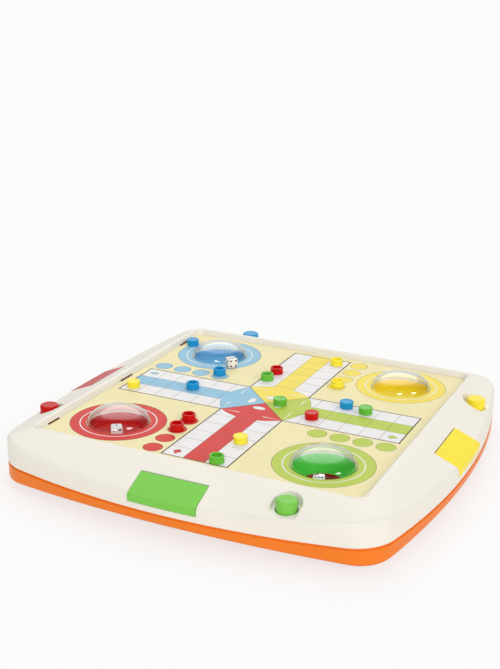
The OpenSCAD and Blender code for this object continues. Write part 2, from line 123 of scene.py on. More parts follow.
# %% [markdown]
# ## Light and floor
# The photograph is a bright catalogue picture with almost no shadow. An even white sky gives that, with
# three soft suns: a wide one behind the case and a smaller one in front of each near side. Suns light the
# floor evenly however far it runs. The camera sees a white sky. Reflections see a bright wall behind the
# case and a dim room elsewhere, so that the domes shine in their upper half only. The floor also glows for
# the camera, as white paper seems to.

# %% Helpers for node trees


def colour(code):
    """Linear colour of a written code, with full opacity."""
    parts = [int(code[i:i + 2], 16) / 255 for i in (1, 3, 5)]
    return [p / 12.92 if p <= 0.04045 else ((p + 0.055) / 1.055) ** 2.4 for p in parts] + [1.0]


def feed(tree, node, values):
    """Gives a node's inputs their numbers, colours or sockets, by name."""
    for label, value in values.items():
        if isinstance(value, bpy.types.NodeSocket):
            tree.links.new(value, node.inputs[label])
        else:
            node.inputs[label].default_value = value
    return node


def ramp(tree, value, low, high, start=0.0, stop=1.0):
    """Runs from low to high while the value runs from start to stop. Low and high are numbers or sockets."""
    node = feed(tree, tree.nodes.new("ShaderNodeMapRange"), {
        "Value": value, "From Min": start, "From Max": stop, "To Min": low, "To Max": high})
    return node.outputs["Result"]


def any_ray(tree, *kinds):
    """1 for the named kinds of ray and 0 for the others."""
    path = tree.nodes.new("ShaderNodeLightPath")
    total = path.outputs[kinds[0]]
    for kind in kinds[1:]:
        either = tree.nodes.new("ShaderNodeMath")
        either.operation = "MAXIMUM"
        tree.links.new(total, either.inputs[0])
        tree.links.new(path.outputs[kind], either.inputs[1])
        total = either.outputs[0]
    return total


def new_finish(name):
    """A new material, its node tree and its Principled shader."""
    made = bpy.data.materials.new(name)
    made.use_nodes = True
    return made, made.node_tree, made.node_tree.nodes["Principled BSDF"]


def mix_by(tree, share, first, second):
    """Sends the first shader to the surface, and the second by its share."""
    either = tree.nodes.new("ShaderNodeMixShader")
    for socket, source in zip(either.inputs, (share, first.outputs[0], second.outputs[0])):
        tree.links.new(source, socket)
    tree.links.new(either.outputs[0], tree.nodes["Material Output"].inputs["Surface"])


def direction(azimuth_deg, elevation_deg):
    """Unit vector. Its azimuth counts from the front of the case to the right."""
    azimuth, elevation = math.radians(azimuth_deg), math.radians(elevation_deg)
    flat = math.cos(elevation)
    return Vector((math.sin(azimuth) * flat, -math.cos(azimuth) * flat, math.sin(elevation)))


print("node helpers ready")

# %% Sky, lamps and floor
SKY_LIGHT = 0.5
SKY_SEEN = 1.0
WALL_SEEN = 1.15
ROOM_SEEN = 0.1
BACK_AZIMUTH = 205
WALL_ELEVATION = 38
WALL_FROM, WALL_TO = 0.62, 0.97
FLOOR_GLOW = 0.7
MIRRORED = ("Is Glossy Ray", "Is Transmission Ray")

world = bpy.data.worlds.new("studio")
bpy.context.scene.world = world
world.use_nodes = True
tree = world.node_tree
sky = tree.nodes["Background"]
sky.inputs["Color"].default_value = (1, 1, 1, 1)
at_wall = tree.nodes.new("ShaderNodeVectorMath")
at_wall.operation = "DOT_PRODUCT"
tree.links.new(tree.nodes.new("ShaderNodeTexCoord").outputs["Generated"], at_wall.inputs[0])
at_wall.inputs[1].default_value = direction(BACK_AZIMUTH, WALL_ELEVATION)
room = ramp(tree, at_wall.outputs["Value"], ROOM_SEEN, WALL_SEEN, WALL_FROM, WALL_TO)
unseen = ramp(tree, any_ray(tree, *MIRRORED), SKY_LIGHT, room)
tree.links.new(ramp(tree, any_ray(tree, "Is Camera Ray"), unseen, SKY_SEEN), sky.inputs["Strength"])


def soft_sun(name, azimuth_deg, elevation_deg, spread_deg, power):
    """A sun with soft edges."""
    lamp = linked(name, bpy.data.lights.new(name, "SUN"))
    lamp.data.angle = math.radians(spread_deg)
    lamp.data.energy = power
    lamp.rotation_mode = "QUATERNION"
    lamp.rotation_quaternion = (-direction(azimuth_deg, elevation_deg)).to_track_quat("-Z", "Y")


soft_sun("back_wall", BACK_AZIMUTH, elevation_deg=50, spread_deg=60, power=0.9)
soft_sun("front_window", 15, elevation_deg=30, spread_deg=18, power=0.9)
soft_sun("side_window", 75, elevation_deg=30, spread_deg=18, power=0.68)

FLOOR_HALF = 40
floor_mesh = bpy.data.meshes.new("floor")
corners = [(x * FLOOR_HALF, y * FLOOR_HALF, 0) for x, y in ((-1, -1), (1, -1), (1, 1), (-1, 1))]
floor_mesh.from_pydata(corners, [], [(0, 1, 2, 3)])
floor = linked("floor", floor_mesh)
paper, tree, matt = new_finish("studio_paper")
feed(tree, matt, {"Base Color": colour("#f8f8f6"), "Roughness": 0.9, "Specular IOR Level": 0.1})
glow = tree.nodes.new("ShaderNodeEmission")
mix_by(tree, ramp(tree, any_ray(tree, "Is Camera Ray", *MIRRORED), 0, FLOOR_GLOW), matt, glow)
floor_mesh.materials.append(paper)
bpy.context.scene.view_settings.view_transform = "Standard"
print("sky", SKY_LIGHT, "seen as", SKY_SEEN)

# %% [markdown]
# ## Finishes
# Everything here is moulded plastic, printed card, clear plastic or a little steel. Two effects are shared,
# so each is a node group: the faint grain and flow marks of a moulding, and the fibre and ink of a printed
# card. A group puts out colour, roughness and height. The shader itself stays in each material.

# %% Node groups for moulded plastic and printed card
FLOW_SCALE, FLOW_STRETCH = 14, (1, 1, 2.5)
FIBRE_SCALE, FIBRE_STRETCH = 900, (1, 3, 1)
MOTTLE_SCALE = 60
CARD_ROUGH = 0.38, 0.5
BUMP_DEPTH = 0.1 * MM
NOISE_LOW, NOISE_HIGH = 0.3, 0.7


def new_group(name, inputs):
    """A shader node group with number or colour inputs, and outputs for colour, roughness and height."""
    group = bpy.data.node_groups.new(name, "ShaderNodeTree")
    for label, value in inputs.items():
        kind = "NodeSocketColor" if isinstance(value, tuple) else "NodeSocketFloat"
        group.interface.new_socket(label, in_out="INPUT", socket_type=kind).default_value = value
    for label, kind in (("Colour", "Color"), ("Roughness", "Float"), ("Height", "Float")):
        group.interface.new_socket(label, in_out="OUTPUT", socket_type="NodeSocket" + kind)
    return group, group.nodes.new("NodeGroupInput").outputs, group.nodes.new("NodeGroupOutput").inputs


def noise(tree, scale, detail, stretch=(1, 1, 1)):
    """Value noise in the part's own frame. Scale is a number or a socket."""
    place = tree.nodes.new("ShaderNodeTexCoord").outputs["Object"]
    mapping = feed(tree, tree.nodes.new("ShaderNodeMapping"), {"Vector": place, "Scale": stretch})
    node = feed(tree, tree.nodes.new("ShaderNodeTexNoise"), {
        "Vector": mapping.outputs["Vector"], "Scale": scale, "Detail": detail})
    return node.outputs["Fac"]


def spread(tree, value, low, high):
    """Maps the middle of a noise onto low to high."""
    return ramp(tree, value, low, high, NOISE_LOW, NOISE_HIGH)


def darkened(tree, tint, share):
    """The tint times a share that changes over the surface."""
    node = tree.nodes.new("ShaderNodeMix")
    node.data_type = "RGBA"
    node.blend_type = "MULTIPLY"
    node.inputs[0].default_value = 1
    tree.links.new(tint, node.inputs[6])  # a mix node lists its colour sockets after its numbers and vectors
    tree.links.new(share, node.inputs[7])
    return node.outputs[2]


def moulded_group():
    """Fine grain, and flow marks that change colour and gloss a little."""
    group, given, made = new_group("moulded_plastic", {
        "Colour": (1, 1, 1, 1), "Grain": 1500.0, "Smooth": 0.3, "Rough": 0.42, "Flow": 0.955})
    flow = noise(group, FLOW_SCALE, 3, FLOW_STRETCH)
    shade = spread(group, flow, given["Flow"], 1.0)
    group.links.new(darkened(group, given["Colour"], shade), made["Colour"])
    group.links.new(spread(group, flow, given["Smooth"], given["Rough"]), made["Roughness"])
    group.links.new(noise(group, given["Grain"], 2), made["Height"])
    return group


def card_group():
    """Paper fibre, and ink that isn't quite even."""
    group, given, made = new_group("printed_card", {"Colour": (1, 1, 1, 1), "Ink": 0.95})
    fibre = noise(group, FIBRE_SCALE, 4, FIBRE_STRETCH)
    shade = spread(group, noise(group, MOTTLE_SCALE, 5), given["Ink"], 1.0)
    group.links.new(darkened(group, given["Colour"], shade), made["Colour"])
    group.links.new(spread(group, fibre, *CARD_ROUGH), made["Roughness"])
    group.links.new(fibre, made["Height"])
    return group


MOULDED = moulded_group()
CARD = card_group()
print("groups", MOULDED.name, CARD.name)

# %% Materials


def material(name, group, values, bump, shine):
    """A Principled material that takes colour, roughness and a fine bump from a group."""
    made, tree, shader = new_finish(name)
    source = tree.nodes.new("ShaderNodeGroup")
    source.node_tree = group
    feed(tree, source, values)
    height = feed(tree, tree.nodes.new("ShaderNodeBump"), {
        "Strength": bump, "Distance": BUMP_DEPTH, "Height": source.outputs["Height"]})
    feed(tree, shader, {
        "Base Color": source.outputs["Colour"], "Roughness": source.outputs["Roughness"],
        "Normal": height.outputs["Normal"], "Specular IOR Level": shine})
    return made


def plastic(name, code, smooth=0.28, rough=0.4, shine=0.35):
    values = {"Colour": colour(code), "Smooth": smooth, "Rough": rough}
    return material(name, MOULDED, values, bump=0.12, shine=shine)


def ink(name, code):
    return material(name, CARD, {"Colour": colour(code)}, bump=0.06, shine=0.15)


def clear_plastic(name):
    """Clear moulding. Lamps shine through it: shadow and diffuse rays meet a plain see-through shader."""
    made, tree, shader = new_finish(name)
    feed(tree, shader, {
        "Base Color": colour("#f1f3f2"), "Roughness": 0.02, "IOR": 1.49, "Transmission Weight": 1})
    see_through = tree.nodes.new("ShaderNodeBsdfTransparent")
    feed(tree, see_through, {"Color": (0.985, 0.99, 0.99, 1)})
    mix_by(tree, any_ray(tree, "Is Shadow Ray", "Is Diffuse Ray"), shader, see_through)
    return made


def steel_finish(name):
    values = {"Colour": colour("#b8bcc0"), "Smooth": 0.25, "Rough": 0.4}
    made = material(name, MOULDED, values, bump=0.05, shine=0.5)
    made.node_tree.nodes["Principled BSDF"].inputs["Metallic"].default_value = 1
    return made


CREAM = plastic("cream_moulding", "#f4efe3", 0.34, 0.48)
ORANGE = plastic("orange_moulding", "#f7801f", 0.3, 0.42, 0.25)
CLEAR = clear_plastic("clear_moulding")
STEEL = steel_finish("spring_steel")
LEVER = plastic("dark_lever_moulding", "#a8281a", 0.35, 0.5, 0.1)
# Painted shade: a dark red-brown for the faces of the recess slots and tongues, standing for the shadow
# inside the case.
PAINTED_SLOT_SHADE = plastic("painted_slot_shade", "#8c2a16", 0.4, 0.5, 0.1)
DIE_WHITE = plastic("die_white", "#f6f4f0", 0.18, 0.26)
PIP_BLUE = plastic("pip_blue", "#1c2a78", 0.3, 0.4)
PIP_RED = plastic("pip_red", "#7e1712", 0.3, 0.4)
COUNTER_CODES = {"green": "#6ac43c", "yellow": "#ffee40", "blue": "#169ad4", "red": "#d00606"}
FLAP_CODES = {"green": "#7fd052", "yellow": "#ffea3c", "blue": "#3a9fd6", "red": "#c80c04"}
CUP_CODES = {"green": "#48cc3c", "yellow": "#ffde18", "blue": "#68b0e0", "red": "#c80606"}
COUNTER = {p: plastic(p + "_counter_moulding", c, 0.22, 0.34, 0.2) for p, c in COUNTER_CODES.items()}
FLAP = {p: plastic(p + "_flap_moulding", c, 0.28, 0.4, 0.18) for p, c in FLAP_CODES.items()}
CUP = {p: plastic(p + "_cup_moulding", c, 0.25, 0.35, 0.08) for p, c in CUP_CODES.items()}
print("materials", len(bpy.data.materials))

# %% [markdown]
# ## Mesh helpers
# Every moulded piece here is turned, as on a lathe, or lofted through rows of points. Both join rows of
# points with faces, so one helper makes the faces and the others make the rows. Cuts are exact booleans
# that are applied at once, so each piece ends as one plain mesh, and the rims that a cut leaves are rounded
# afterwards as a mould would be.

# %% Rows of points into faces


def rounded(corners, steps=5):
    """Points along corners of (x, y, radius), with each corner turned into an arc."""
    path = []
    for i, (x, y, radius) in enumerate(corners):
        here = Vector((x, y))
        if radius == 0:
            path.append(here)
            continue
        before = (Vector(corners[i - 1][:2]) - here).normalized()
        after = (Vector(corners[(i + 1) % len(corners)][:2]) - here).normalized()
        half = before.angle(after) / 2
        centre = here + (before + after).normalized() * radius / math.sin(half)
        start = here + before * radius / math.tan(half) - centre
        end = here + after * radius / math.tan(half) - centre
        sweep = start.angle(end)
        for step in range(steps + 1):
            share = step / steps
            ends = start * math.sin((1 - share) * sweep) + end * math.sin(share * sweep)
            path.append(centre + ends / math.sin(sweep))
    return path


def bridge(rows, closed=False, capped=False):
    """Points and faces of a loft through closed rows. A row of one point is a tip."""
    points, index = [], []
    for row in rows:
        index.append(range(len(points), len(points) + len(row)))
        points += row
    faces = [tuple(index[0]), tuple(index[-1])] if capped else []
    for low, high in zip(index, [*index[1:], index[0]] if closed else index[1:]):
        count = max(len(low), len(high))
        for i in range(count):
            j = (i + 1) % count
            corners = low[i % len(low)], low[j % len(low)], high[j % len(high)], high[i % len(high)]
            faces.append(tuple(dict.fromkeys(corners)))
    return points, faces


def arc(radius, start, stop, steps):
    """Flat points along an arc round the origin, with both ends."""
    turns = [start + (stop - start) * i / steps for i in range(steps + 1)]
    return [(radius * math.cos(a), radius * math.sin(a)) for a in turns]


def ring(radius, steps):
    """Flat points round a circle."""
    return arc(radius, 0, math.tau, steps)[:-1]


def block(low_x, low_y, high_x, high_y):
    """Corners of an upright rectangle."""
    return [Vector(p) for p in ((low_x, low_y), (high_x, low_y), (high_x, high_y), (low_x, high_y))]


def circle(x, y, radius, z, steps):
    """Points round a level circle."""
    return [Vector((x + a, y + b, z)) for a, b in ring(radius, steps)]


def lathe(profile, at, steps=72):
    """A profile of (radius, height) points, turned round an upright axis."""
    return bridge([circle(at[0], at[1], r, z, steps if r > 0 else 1) for r, z in profile])


def joined(shapes):
    """Several shapes as one."""
    points, faces = [], []
    for more_points, more_faces in shapes:
        faces += [tuple(i + len(points) for i in face) for face in more_faces]
        points += more_points
    return points, faces


# %% Shapes into objects
BENT = 0.3  # least angle in radians between the faces of an edge that is rounded


def smooth(mesh, sharp=32):
    """Smooth shading, with the edges sharper than this many degrees kept."""
    mesh.shade_smooth()
    mesh.set_sharp_from_angle(angle=math.radians(sharp))


def new_object(name, shape, *finishes):
    """A closed mesh object with its faces turned outward."""
    mesh = bpy.data.meshes.new(name)
    mesh.from_pydata(shape[0], [], shape[1])
    edit = bmesh.new()
    edit.from_mesh(mesh)
    bmesh.ops.recalc_face_normals(edit, faces=edit.faces)
    edit.to_mesh(mesh)
    edit.free()
    for finish in finishes:
        mesh.materials.append(finish)
    smooth(mesh)
    return linked(name, mesh)


def cut(piece, shapes, operation="DIFFERENCE", finish=None):
    """Cuts shapes that don't meet each other from a piece, or adds them to it."""
    tool = new_object("tool", joined(shapes), *([finish] if finish else []))
    step = piece.modifiers.new("cut", "BOOLEAN")
    step.solver = "EXACT"
    step.operation = operation
    step.object = tool
    step.material_mode = "TRANSFER" if finish else "INDEX"
    before = piece.data
    piece.data = bpy.data.meshes.new_from_object(piece.evaluated_get(bpy.context.evaluated_depsgraph_get()))
    piece.modifiers.clear()
    bpy.data.meshes.remove(before)
    bpy.data.objects.remove(tool)


def round_edges(piece, chosen, width, segments=3):
    """Rounds the sharp edges that chosen picks by their two ends."""
    edit = bmesh.new()
    edit.from_mesh(piece.data)
    edges = [e for e in edit.edges if e.calc_face_angle(0) > BENT and all(chosen(v.co) for v in e.verts)]
    bmesh.ops.bevel(edit, geom=edges, offset=width, segments=segments, profile=0.5, affect="EDGES",
                    clamp_overlap=True)
    edit.to_mesh(piece.data)
    edit.free()
    return len(edges)


def dress(piece, body, slot, *nodes):
    """Lets a finished piece ride on a body and stand for its CAD nodes."""
    smooth(piece.data)
    piece.modifiers.new("even shading", "WEIGHTED_NORMAL").keep_sharp = True
    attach(piece, body)
    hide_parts(*nodes)
    return piece


print("helpers ready")

# %% [markdown]
# ## Outline of the case
# In plan, each side bows outward on a large radius and blends into a round corner. A point on that outline
# is found from the direction that it faces. The same directions also give points on the rounded square of
# the board, so rows on the outline and rows on the board's recess have their points side by side, and lofts
# between them run straight.

# %% Stations round the case
bow_centre = SIDE_BOW_R - case_half
blend_r = SIDE_BOW_R - CORNER_R
corner_centre = (math.sqrt(2 * blend_r ** 2 - bow_centre ** 2) - bow_centre) / 2
side_turn = math.atan2(corner_centre, bow_centre + corner_centre)
EIGHTH = math.pi / 4
CORNER_STEPS = 12
SIDE_STEPS = 40
half_corner = [EIGHTH - (EIGHTH - side_turn) * i / CORNER_STEPS for i in range(CORNER_STEPS)]
along_side = [side_turn * (2 * i / SIDE_STEPS - 1) for i in range(SIDE_STEPS + 1)]
FACING = [-a for a in half_corner] + along_side + half_corner[:0:-1]


def edge_point(facing, inset):
    """Point on the front of the outline that faces this way, in from the edge."""
    out = Vector((math.sin(facing), -math.cos(facing)))
    if abs(facing) <= side_turn:
        return Vector((0, bow_centre)) + out * (SIDE_BOW_R - inset)
    return Vector((math.copysign(corner_centre, facing), -corner_centre)) + out * (CORNER_R - inset)


def square_point(facing, half):
    """Point on the front of a rounded square that keeps the board's corner centres."""
    straight = board_half - BOARD_CORNER_R
    if abs(facing) <= side_turn:
        return Vector((straight * facing / side_turn, -half))
    turn = math.copysign((abs(facing) - side_turn) / (EIGHTH - side_turn) * EIGHTH, facing)
    corner = Vector((math.copysign(straight, facing), -straight))
    return corner + (half - straight) * Vector((math.sin(turn), -math.cos(turn)))


def turned(point, k):
    """A point of the front side, turned to side k."""
    x, y, z = point
    for _ in range(k):
        x, y = -y, x
    return Vector((x, y, z))


def row(flat_point, height):
    """Points all round the case. Height is a number, or a function of the point."""
    points = []
    for k in range(4):
        for facing in FACING:
            flat = flat_point(facing)
            points.append(turned((*flat, height(flat) if callable(height) else height), k))
    return points


print("stations", 4 * len(FACING), "corner centre", round(corner_centre / MM, 2))

# %% [markdown]
# ## Fall of the rims
# Outside its ridge, each shell falls away to the side wall. Four flat falls would meet in hard hips at the
# corners. The moulding has none, so the distance from the middle is a soft maximum of x and y, which rounds
# the hips off.

# %% Heights of the two rims
HIP_BLEND = 24 * MM
FALL_SHARES = (0, 0.06, 0.2, 0.4, 0.6, 0.8, 1)
RECESS_TOP_R = 2.8 * MM


def reach(flat):
    """How far out a point lies, with the corner between two sides rounded."""
    x, y = abs(flat[0]), abs(flat[1])
    share = max(HIP_BLEND - abs(x - y), 0) / HIP_BLEND
    return max(x, y) + share ** 2 * HIP_BLEND / 4


def upper_z(flat):
    return ridge_z - max(reach(flat) - ridge_out, 0) * math.tan(UPPER_FALL)


def lower_z(flat):
    return max(reach(flat) - ridge_out, 0) * math.tan(BASE_FALL)


def rim_rows(height, crease_r):
    """Rows over the fall, from the ridge to the start of the crease."""
    rows = []
    for share in FALL_SHARES:
        rows.append(row(lambda f: square_point(f, ridge_out).lerp(edge_point(f, crease_r), share), height))
    return rows


def crease_rows(height, crease_r, side, steps=6):
    """Rows round the crease, from the fall to the side wall. Side is -1 for down and 1 for up."""
    rows = []
    for step in range(1, steps + 1):
        turn = math.pi / 2 * step / steps
        inset = crease_r * (1 - math.sin(turn))
        shift = side * crease_r * (1 - math.cos(turn))
        rows.append(row(lambda f: edge_point(f, inset), lambda flat: height(flat) + shift))
    return rows


def recess_rows(deck, ridge):
    """Rows from the foot of a recess wall to its rounded top edge."""
    corners = [(board_half, deck, 0), (ridge_in, ridge, RECESS_TOP_R), (ridge_out + RECESS_TOP_R, ridge, 0)]
    return [row(lambda f: square_point(f, half), z) for half, z in rounded(corners, 4)[:-1]]


print("rim height at the side", round(upper_z((0, case_half)) / MM, 2), "mm")

# %% [markdown]
# ## Cream upper shell
# This shell is one thin moulding: a leaning recess wall, a falling rim and a side wall. It is lofted as one
# closed skin, outside and inside, so that it has a real thickness where lids open. Thick spots under the
# wells and stores are added, and then the wells, button holes, lid notches, stores and the small slots in
# the recess are cut. The faces of the slots and of the tongues under the card's notches are painted dark
# red-brown: painted shade that stands for the shadow inside the case.

# %% Loft of the upper shell
CREASE_R = 3.4 * MM
FOOT_R = 0.6 * MM
LEDGE_W = 4 * MM
ledge_z = deck_high.z - WALL


def inner_roof(flat):
    return upper_z(flat) - WALL / math.cos(UPPER_FALL)


upper_rows = recess_rows(deck_high.z, ridge_z) + rim_rows(upper_z, CREASE_R)
upper_rows += crease_rows(upper_z, CREASE_R, -1)
for inset, z in rounded([(0, parting_z + 2 * FOOT_R, 0), (0, parting_z, FOOT_R), (WALL, parting_z, 0)], 3):
    upper_rows.append(row(lambda f: edge_point(f, inset), z))
upper_rows.append(row(lambda f: edge_point(f, WALL), lambda flat: inner_roof(flat) - CREASE_R / 2))
upper_rows.append(row(lambda f: edge_point(f, WALL + CREASE_R / 2), inner_roof))
upper_rows.append(row(lambda f: square_point(f, wall_block), inner_roof))
for half, z in ((wall_block, ledge_z - WALL), (board_half - LEDGE_W, ledge_z - WALL),
                (board_half - LEDGE_W, ledge_z), (board_half, ledge_z)):
    upper_rows.append(row(lambda f: square_point(f, half), z))
rim = new_object("cream_rim", bridge(upper_rows, closed=True), CREAM)
print("upper shell", len(rim.data.polygons), "faces")

# %% Places of the poppers and stores
button_low, button_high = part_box("popper_button_green")
button_at = (button_low + button_high) / 2
button_r = 8.2 * MM
BUTTON_RISE = 8.5 * MM
WELL_R = 11.6 * MM
WELL_FILLET = 2.4 * MM
WELL_FLARE = 1.6 * MM
WELL_TILT = math.radians(6)
WELL_RUN = 11 * MM
WELL_STEPS = 32
BUTTON_STEPS = 64
BUTTON_GAP = 0.9 * MM
well_floor = button_high.z - BUTTON_RISE
lid_low, lid_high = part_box("store_lid_green")
STUB_LEN = 2.5 * MM
LID_T = 3 * MM
LID_REACH = 21.5 * MM
LID_LIP_T = 2.2 * MM
LID_PROUD = 0.8 * MM
RUN_GAP = 0.5 * MM
lid_half = lid_high.x - STUB_LEN
notch_half = lid_half + FIT_GAP
hinge_out = case_half - LID_REACH
hinge_slope = (hinge_out - ridge_out) / math.cos(UPPER_FALL)
notch_slope = hinge_slope - LID_T / 2 - RUN_GAP
STORE_HALF = 28 * MM
STORE_FLOOR_T = 2 * MM
store_floor = parting_z + STORE_FLOOR_T


def on_fall(along, depth):
    """Distance from the middle and height of a point, along the front fall from its ridge and below it."""
    out = ridge_out + along * math.cos(UPPER_FALL) - depth * math.sin(UPPER_FALL)
    return out, ridge_z - along * math.sin(UPPER_FALL) - depth * math.cos(UPPER_FALL)


def fall_depth(out, z):
    """Depth of a point below the front fall."""
    return (ridge_z - z) * math.cos(UPPER_FALL) - (out - ridge_out) * math.sin(UPPER_FALL)


def prism(profile, xs, k):
    """A closed profile of (out, height) points, drawn along the front side and turned to side k.

    The profile is a list, or a function that gives the list at a distance along the side.
    """
    at = profile if callable(profile) else lambda x: profile
    return bridge([[turned((x, -out, z), k) for out, z in at(x)] for x in xs], capped=True)


def bow_edge(x):
    """Distance of the outline from the middle, along the front side."""
    return math.sqrt(SIDE_BOW_R ** 2 - x ** 2) - bow_centre


def well_row(radius, height, run, k):
    """Outline of a well: round behind its button, with straight flanks. Its level falls outward."""
    flat = [(radius, -run)] + arc(radius, 0, math.pi, WELL_STEPS) + [(-radius, -run)]
    return [turned((button_at.x + x, button_at.y + y, height + y * math.tan(WELL_TILT)), k) for x, y in flat]


print("button at", [round(x / MM, 1) for x in button_at], "lid half", round(lid_half / MM, 1))

# %% Thick spots and cuts of the upper shell
SKIN = 1.2 * MM
LID_STEPS = 14
SLOTS = [(x * MM, length * MM) for x, length in ((-111, 17), (2.7, 21), (122, 16.5))]
SLOT_H = 0.8 * MM
SLOT_D = 2 * MM
TONGUE_SIDES = (3,)
TONGUE_W = 1.3 * MM
TONGUE_T = 0.25 * MM
above = ridge_z + WALL


def well_boss(k):
    """Thick spot under a well, with its top hidden in the skin of the rim."""
    low = well_row(WELL_R + WALL, well_floor - WALL, WELL_RUN, 0)
    high = [Vector((p.x, p.y, upper_z(p) - SKIN)) for p in low]
    return bridge([[turned(p, k) for p in points] for points in (low, high)], capped=True)


def store_block(k):
    """Thick spot round a store."""
    back = hinge_out - LID_T - WALL
    front = case_half - 1.5 * SKIN
    low = parting_z + FIT_GAP
    profile = [(back, low), (front, low)]
    profile += [(out, upper_z((0, out)) - SKIN) for out in (front, back)]
    half = notch_half + STUB_LEN + WALL
    return prism(profile, (-half, half), k)


def well_cut(k):
    corners = [(WELL_R / 2, well_floor, 0), (WELL_R, well_floor, WELL_FILLET),
               (WELL_R + WELL_FLARE, above, 0)]
    return bridge([well_row(r, z, 2 * WELL_R, k) for r, z in rounded(corners, 5)], capped=True)


def notch_cut(k):
    """Notch for a lid's plate in the fall, with a pocket for its lip in the side wall."""
    def profile(x):
        back, far = bow_edge(x) - LID_LIP_T + LID_PROUD - FIT_GAP, case_half + WALL
        under, low = LID_T + FIT_GAP, lid_low.z - RUN_GAP
        floor_z = upper_z((0, back)) - under / math.cos(UPPER_FALL)
        return [on_fall(notch_slope, under), (back, floor_z), (back, low), (far, low), (far, above),
                on_fall(notch_slope, -2 * LID_T)]
    return prism(profile, [notch_half * (2 * i / LID_STEPS - 1) for i in range(LID_STEPS + 1)], k)


def button_hole(k):
    low, hole_r = well_floor - 2 * WALL, button_r + BUTTON_GAP
    return lathe([(0, low), (hole_r, low), (hole_r, above), (0, above)], turned(button_at, k), BUTTON_STEPS)


def store_cut(k):
    profile = block(hinge_out + WALL, store_floor, case_half - 2 * WALL, above)
    return prism(profile, (-STORE_HALF, STORE_HALF), k)


def foot_bars(inside, outside, low, high, sides):
    """Three bars along the foot of the recess wall on each of these sides."""
    profile = block(board_half - inside, low, board_half + outside, high)
    return [prism(profile, (x - length / 2, x + length / 2), k) for x, length in SLOTS for k in sides]


def on_sides(*shapes):
    """These shapes on all four sides."""
    return [shape(k) for k in range(4) for shape in shapes]


cut(rim, on_sides(well_boss, store_block), "UNION")
cut(rim, on_sides(well_cut, notch_cut))
tongue_z = card_low.z + TONGUE_T
# The tongues and the slots take the dark red-brown painted shade on their faces, for the shadow inside the
# case.
cut(rim, foot_bars(TONGUE_W, WALL / 2, card_low.z - TONGUE_T, tongue_z, TONGUE_SIDES), "UNION", PAINTED_SLOT_SHADE)
cut(rim, foot_bars(2 * TONGUE_W, SLOT_D, tongue_z, card_high.z + SLOT_H, (1, 3)), finish=PAINTED_SLOT_SHADE)
cut(rim, on_sides(button_hole, store_cut))
print("upper shell after its cuts", len(rim.data.polygons), "faces")

# %% Rounded rims of the cuts
NEAR = 0.03 * MM
NOTCH_NEAR = 1 * MM
WELL_ROUND, HOLE_ROUND, NOTCH_ROUND = 0.9 * MM, 0.4 * MM, 0.5 * MM


def front_of(point):
    """The point, turned back to the front side."""
    flat = point.copy()
    while -flat.y < abs(flat.x):
        flat = turned(flat, 1)
    return flat


def on_well_rim(point):
    flat = front_of(point)
    return (flat - button_at).to_2d().length < 2 * WELL_R and abs(flat.z - upper_z(flat)) < NEAR


def on_hole_rim(point):
    flat = front_of(point)
    floor_z = well_floor + (flat.y - button_at.y) * math.tan(WELL_TILT)
    beside = (flat - button_at).to_2d().length - button_r - BUTTON_GAP
    return abs(beside) < NEAR and abs(flat.z - floor_z) < NEAR


def on_notch_rim(point):
    flat = front_of(point)
    depth = fall_depth(-flat.y, flat.z)
    along = (-flat.y - ridge_out) / math.cos(UPPER_FALL)
    between = abs(flat.x) < notch_half + NEAR
    on_wall = abs(abs(flat.x) - notch_half) < NEAR and along > notch_slope - NOTCH_NEAR and depth < LID_T
    on_back = abs(depth) < NEAR and abs(along - notch_slope) < NOTCH_NEAR
    below = abs(-flat.y - bow_edge(flat.x)) < NEAR and flat.z > lid_low.z - RUN_GAP - NEAR
    return on_wall or (between and (on_back or below))


counts = [round_edges(rim, chosen, width) for chosen, width in
          ((on_well_rim, WELL_ROUND), (on_hole_rim, HOLE_ROUND), (on_notch_rim, NOTCH_ROUND))]
dress(rim, "case", "cream_shell", "ludo_frame")
print("edges rounded on wells, holes and notches", counts)

# %% [markdown]
# ## Orange lower shell
# The lower shell has the same outline. Its ridge stands on the table, its rim rises to a narrow side wall,
# and a groove under the parting line keeps the two colours apart with a shadow. A lip inside locates the
# upper shell. Posts for the lever pins and seats for the springs stand on its floor.

# %% Loft of the lower shell
LOWER_CREASE_R = 2.2 * MM
GROOVE_H = 1.8 * MM
GROOVE_D = 1.4 * MM
LIP_RISE = 3 * MM
LIP_T = 1.6 * MM
base_deck = snakes_high.z
groove_z = parting_z - GROOVE_H
lip_inset = WALL + FIT_GAP
lip_gap = notch_half + STUB_LEN + WALL + RUN_GAP


def lip_top(flat):
    return parting_z + (LIP_RISE if abs(flat[0]) > lip_gap else 0)


def inner_floor(flat):
    return lower_z(flat) + WALL


lower_rows = recess_rows(base_deck, 0) + rim_rows(lower_z, LOWER_CREASE_R)
lower_rows += crease_rows(lower_z, LOWER_CREASE_R, 1)
groove = [(0, groove_z - 2 * FOOT_R, 0), (0, groove_z, FOOT_R), (GROOVE_D, groove_z, FOOT_R / 2),
          (GROOVE_D, parting_z, 0), (lip_inset, parting_z, 0)]
for inset, z in rounded(groove, 3):
    lower_rows.append(row(lambda f: edge_point(f, inset), z))
for inset, height in ((lip_inset, lip_top), (lip_inset + LIP_T, lip_top), (lip_inset + LIP_T, inner_floor)):
    lower_rows.append(row(lambda f: edge_point(f, inset), height))
lower_rows.append(row(lambda f: square_point(f, wall_block), inner_floor))
lower_rows.append(row(lambda f: square_point(f, wall_block), base_deck + WALL))
tray = new_object("orange_tray", bridge(lower_rows, capped=True), ORANGE)
# The slots of the snakes recess take the same dark red-brown painted shade on their faces.
cut(tray, foot_bars(2 * TONGUE_W, SLOT_D, snakes_low.z - SLOT_H, snakes_low.z, (0, 2)), finish=PAINTED_SLOT_SHADE)
print("lower shell", len(tray.data.polygons), "faces")

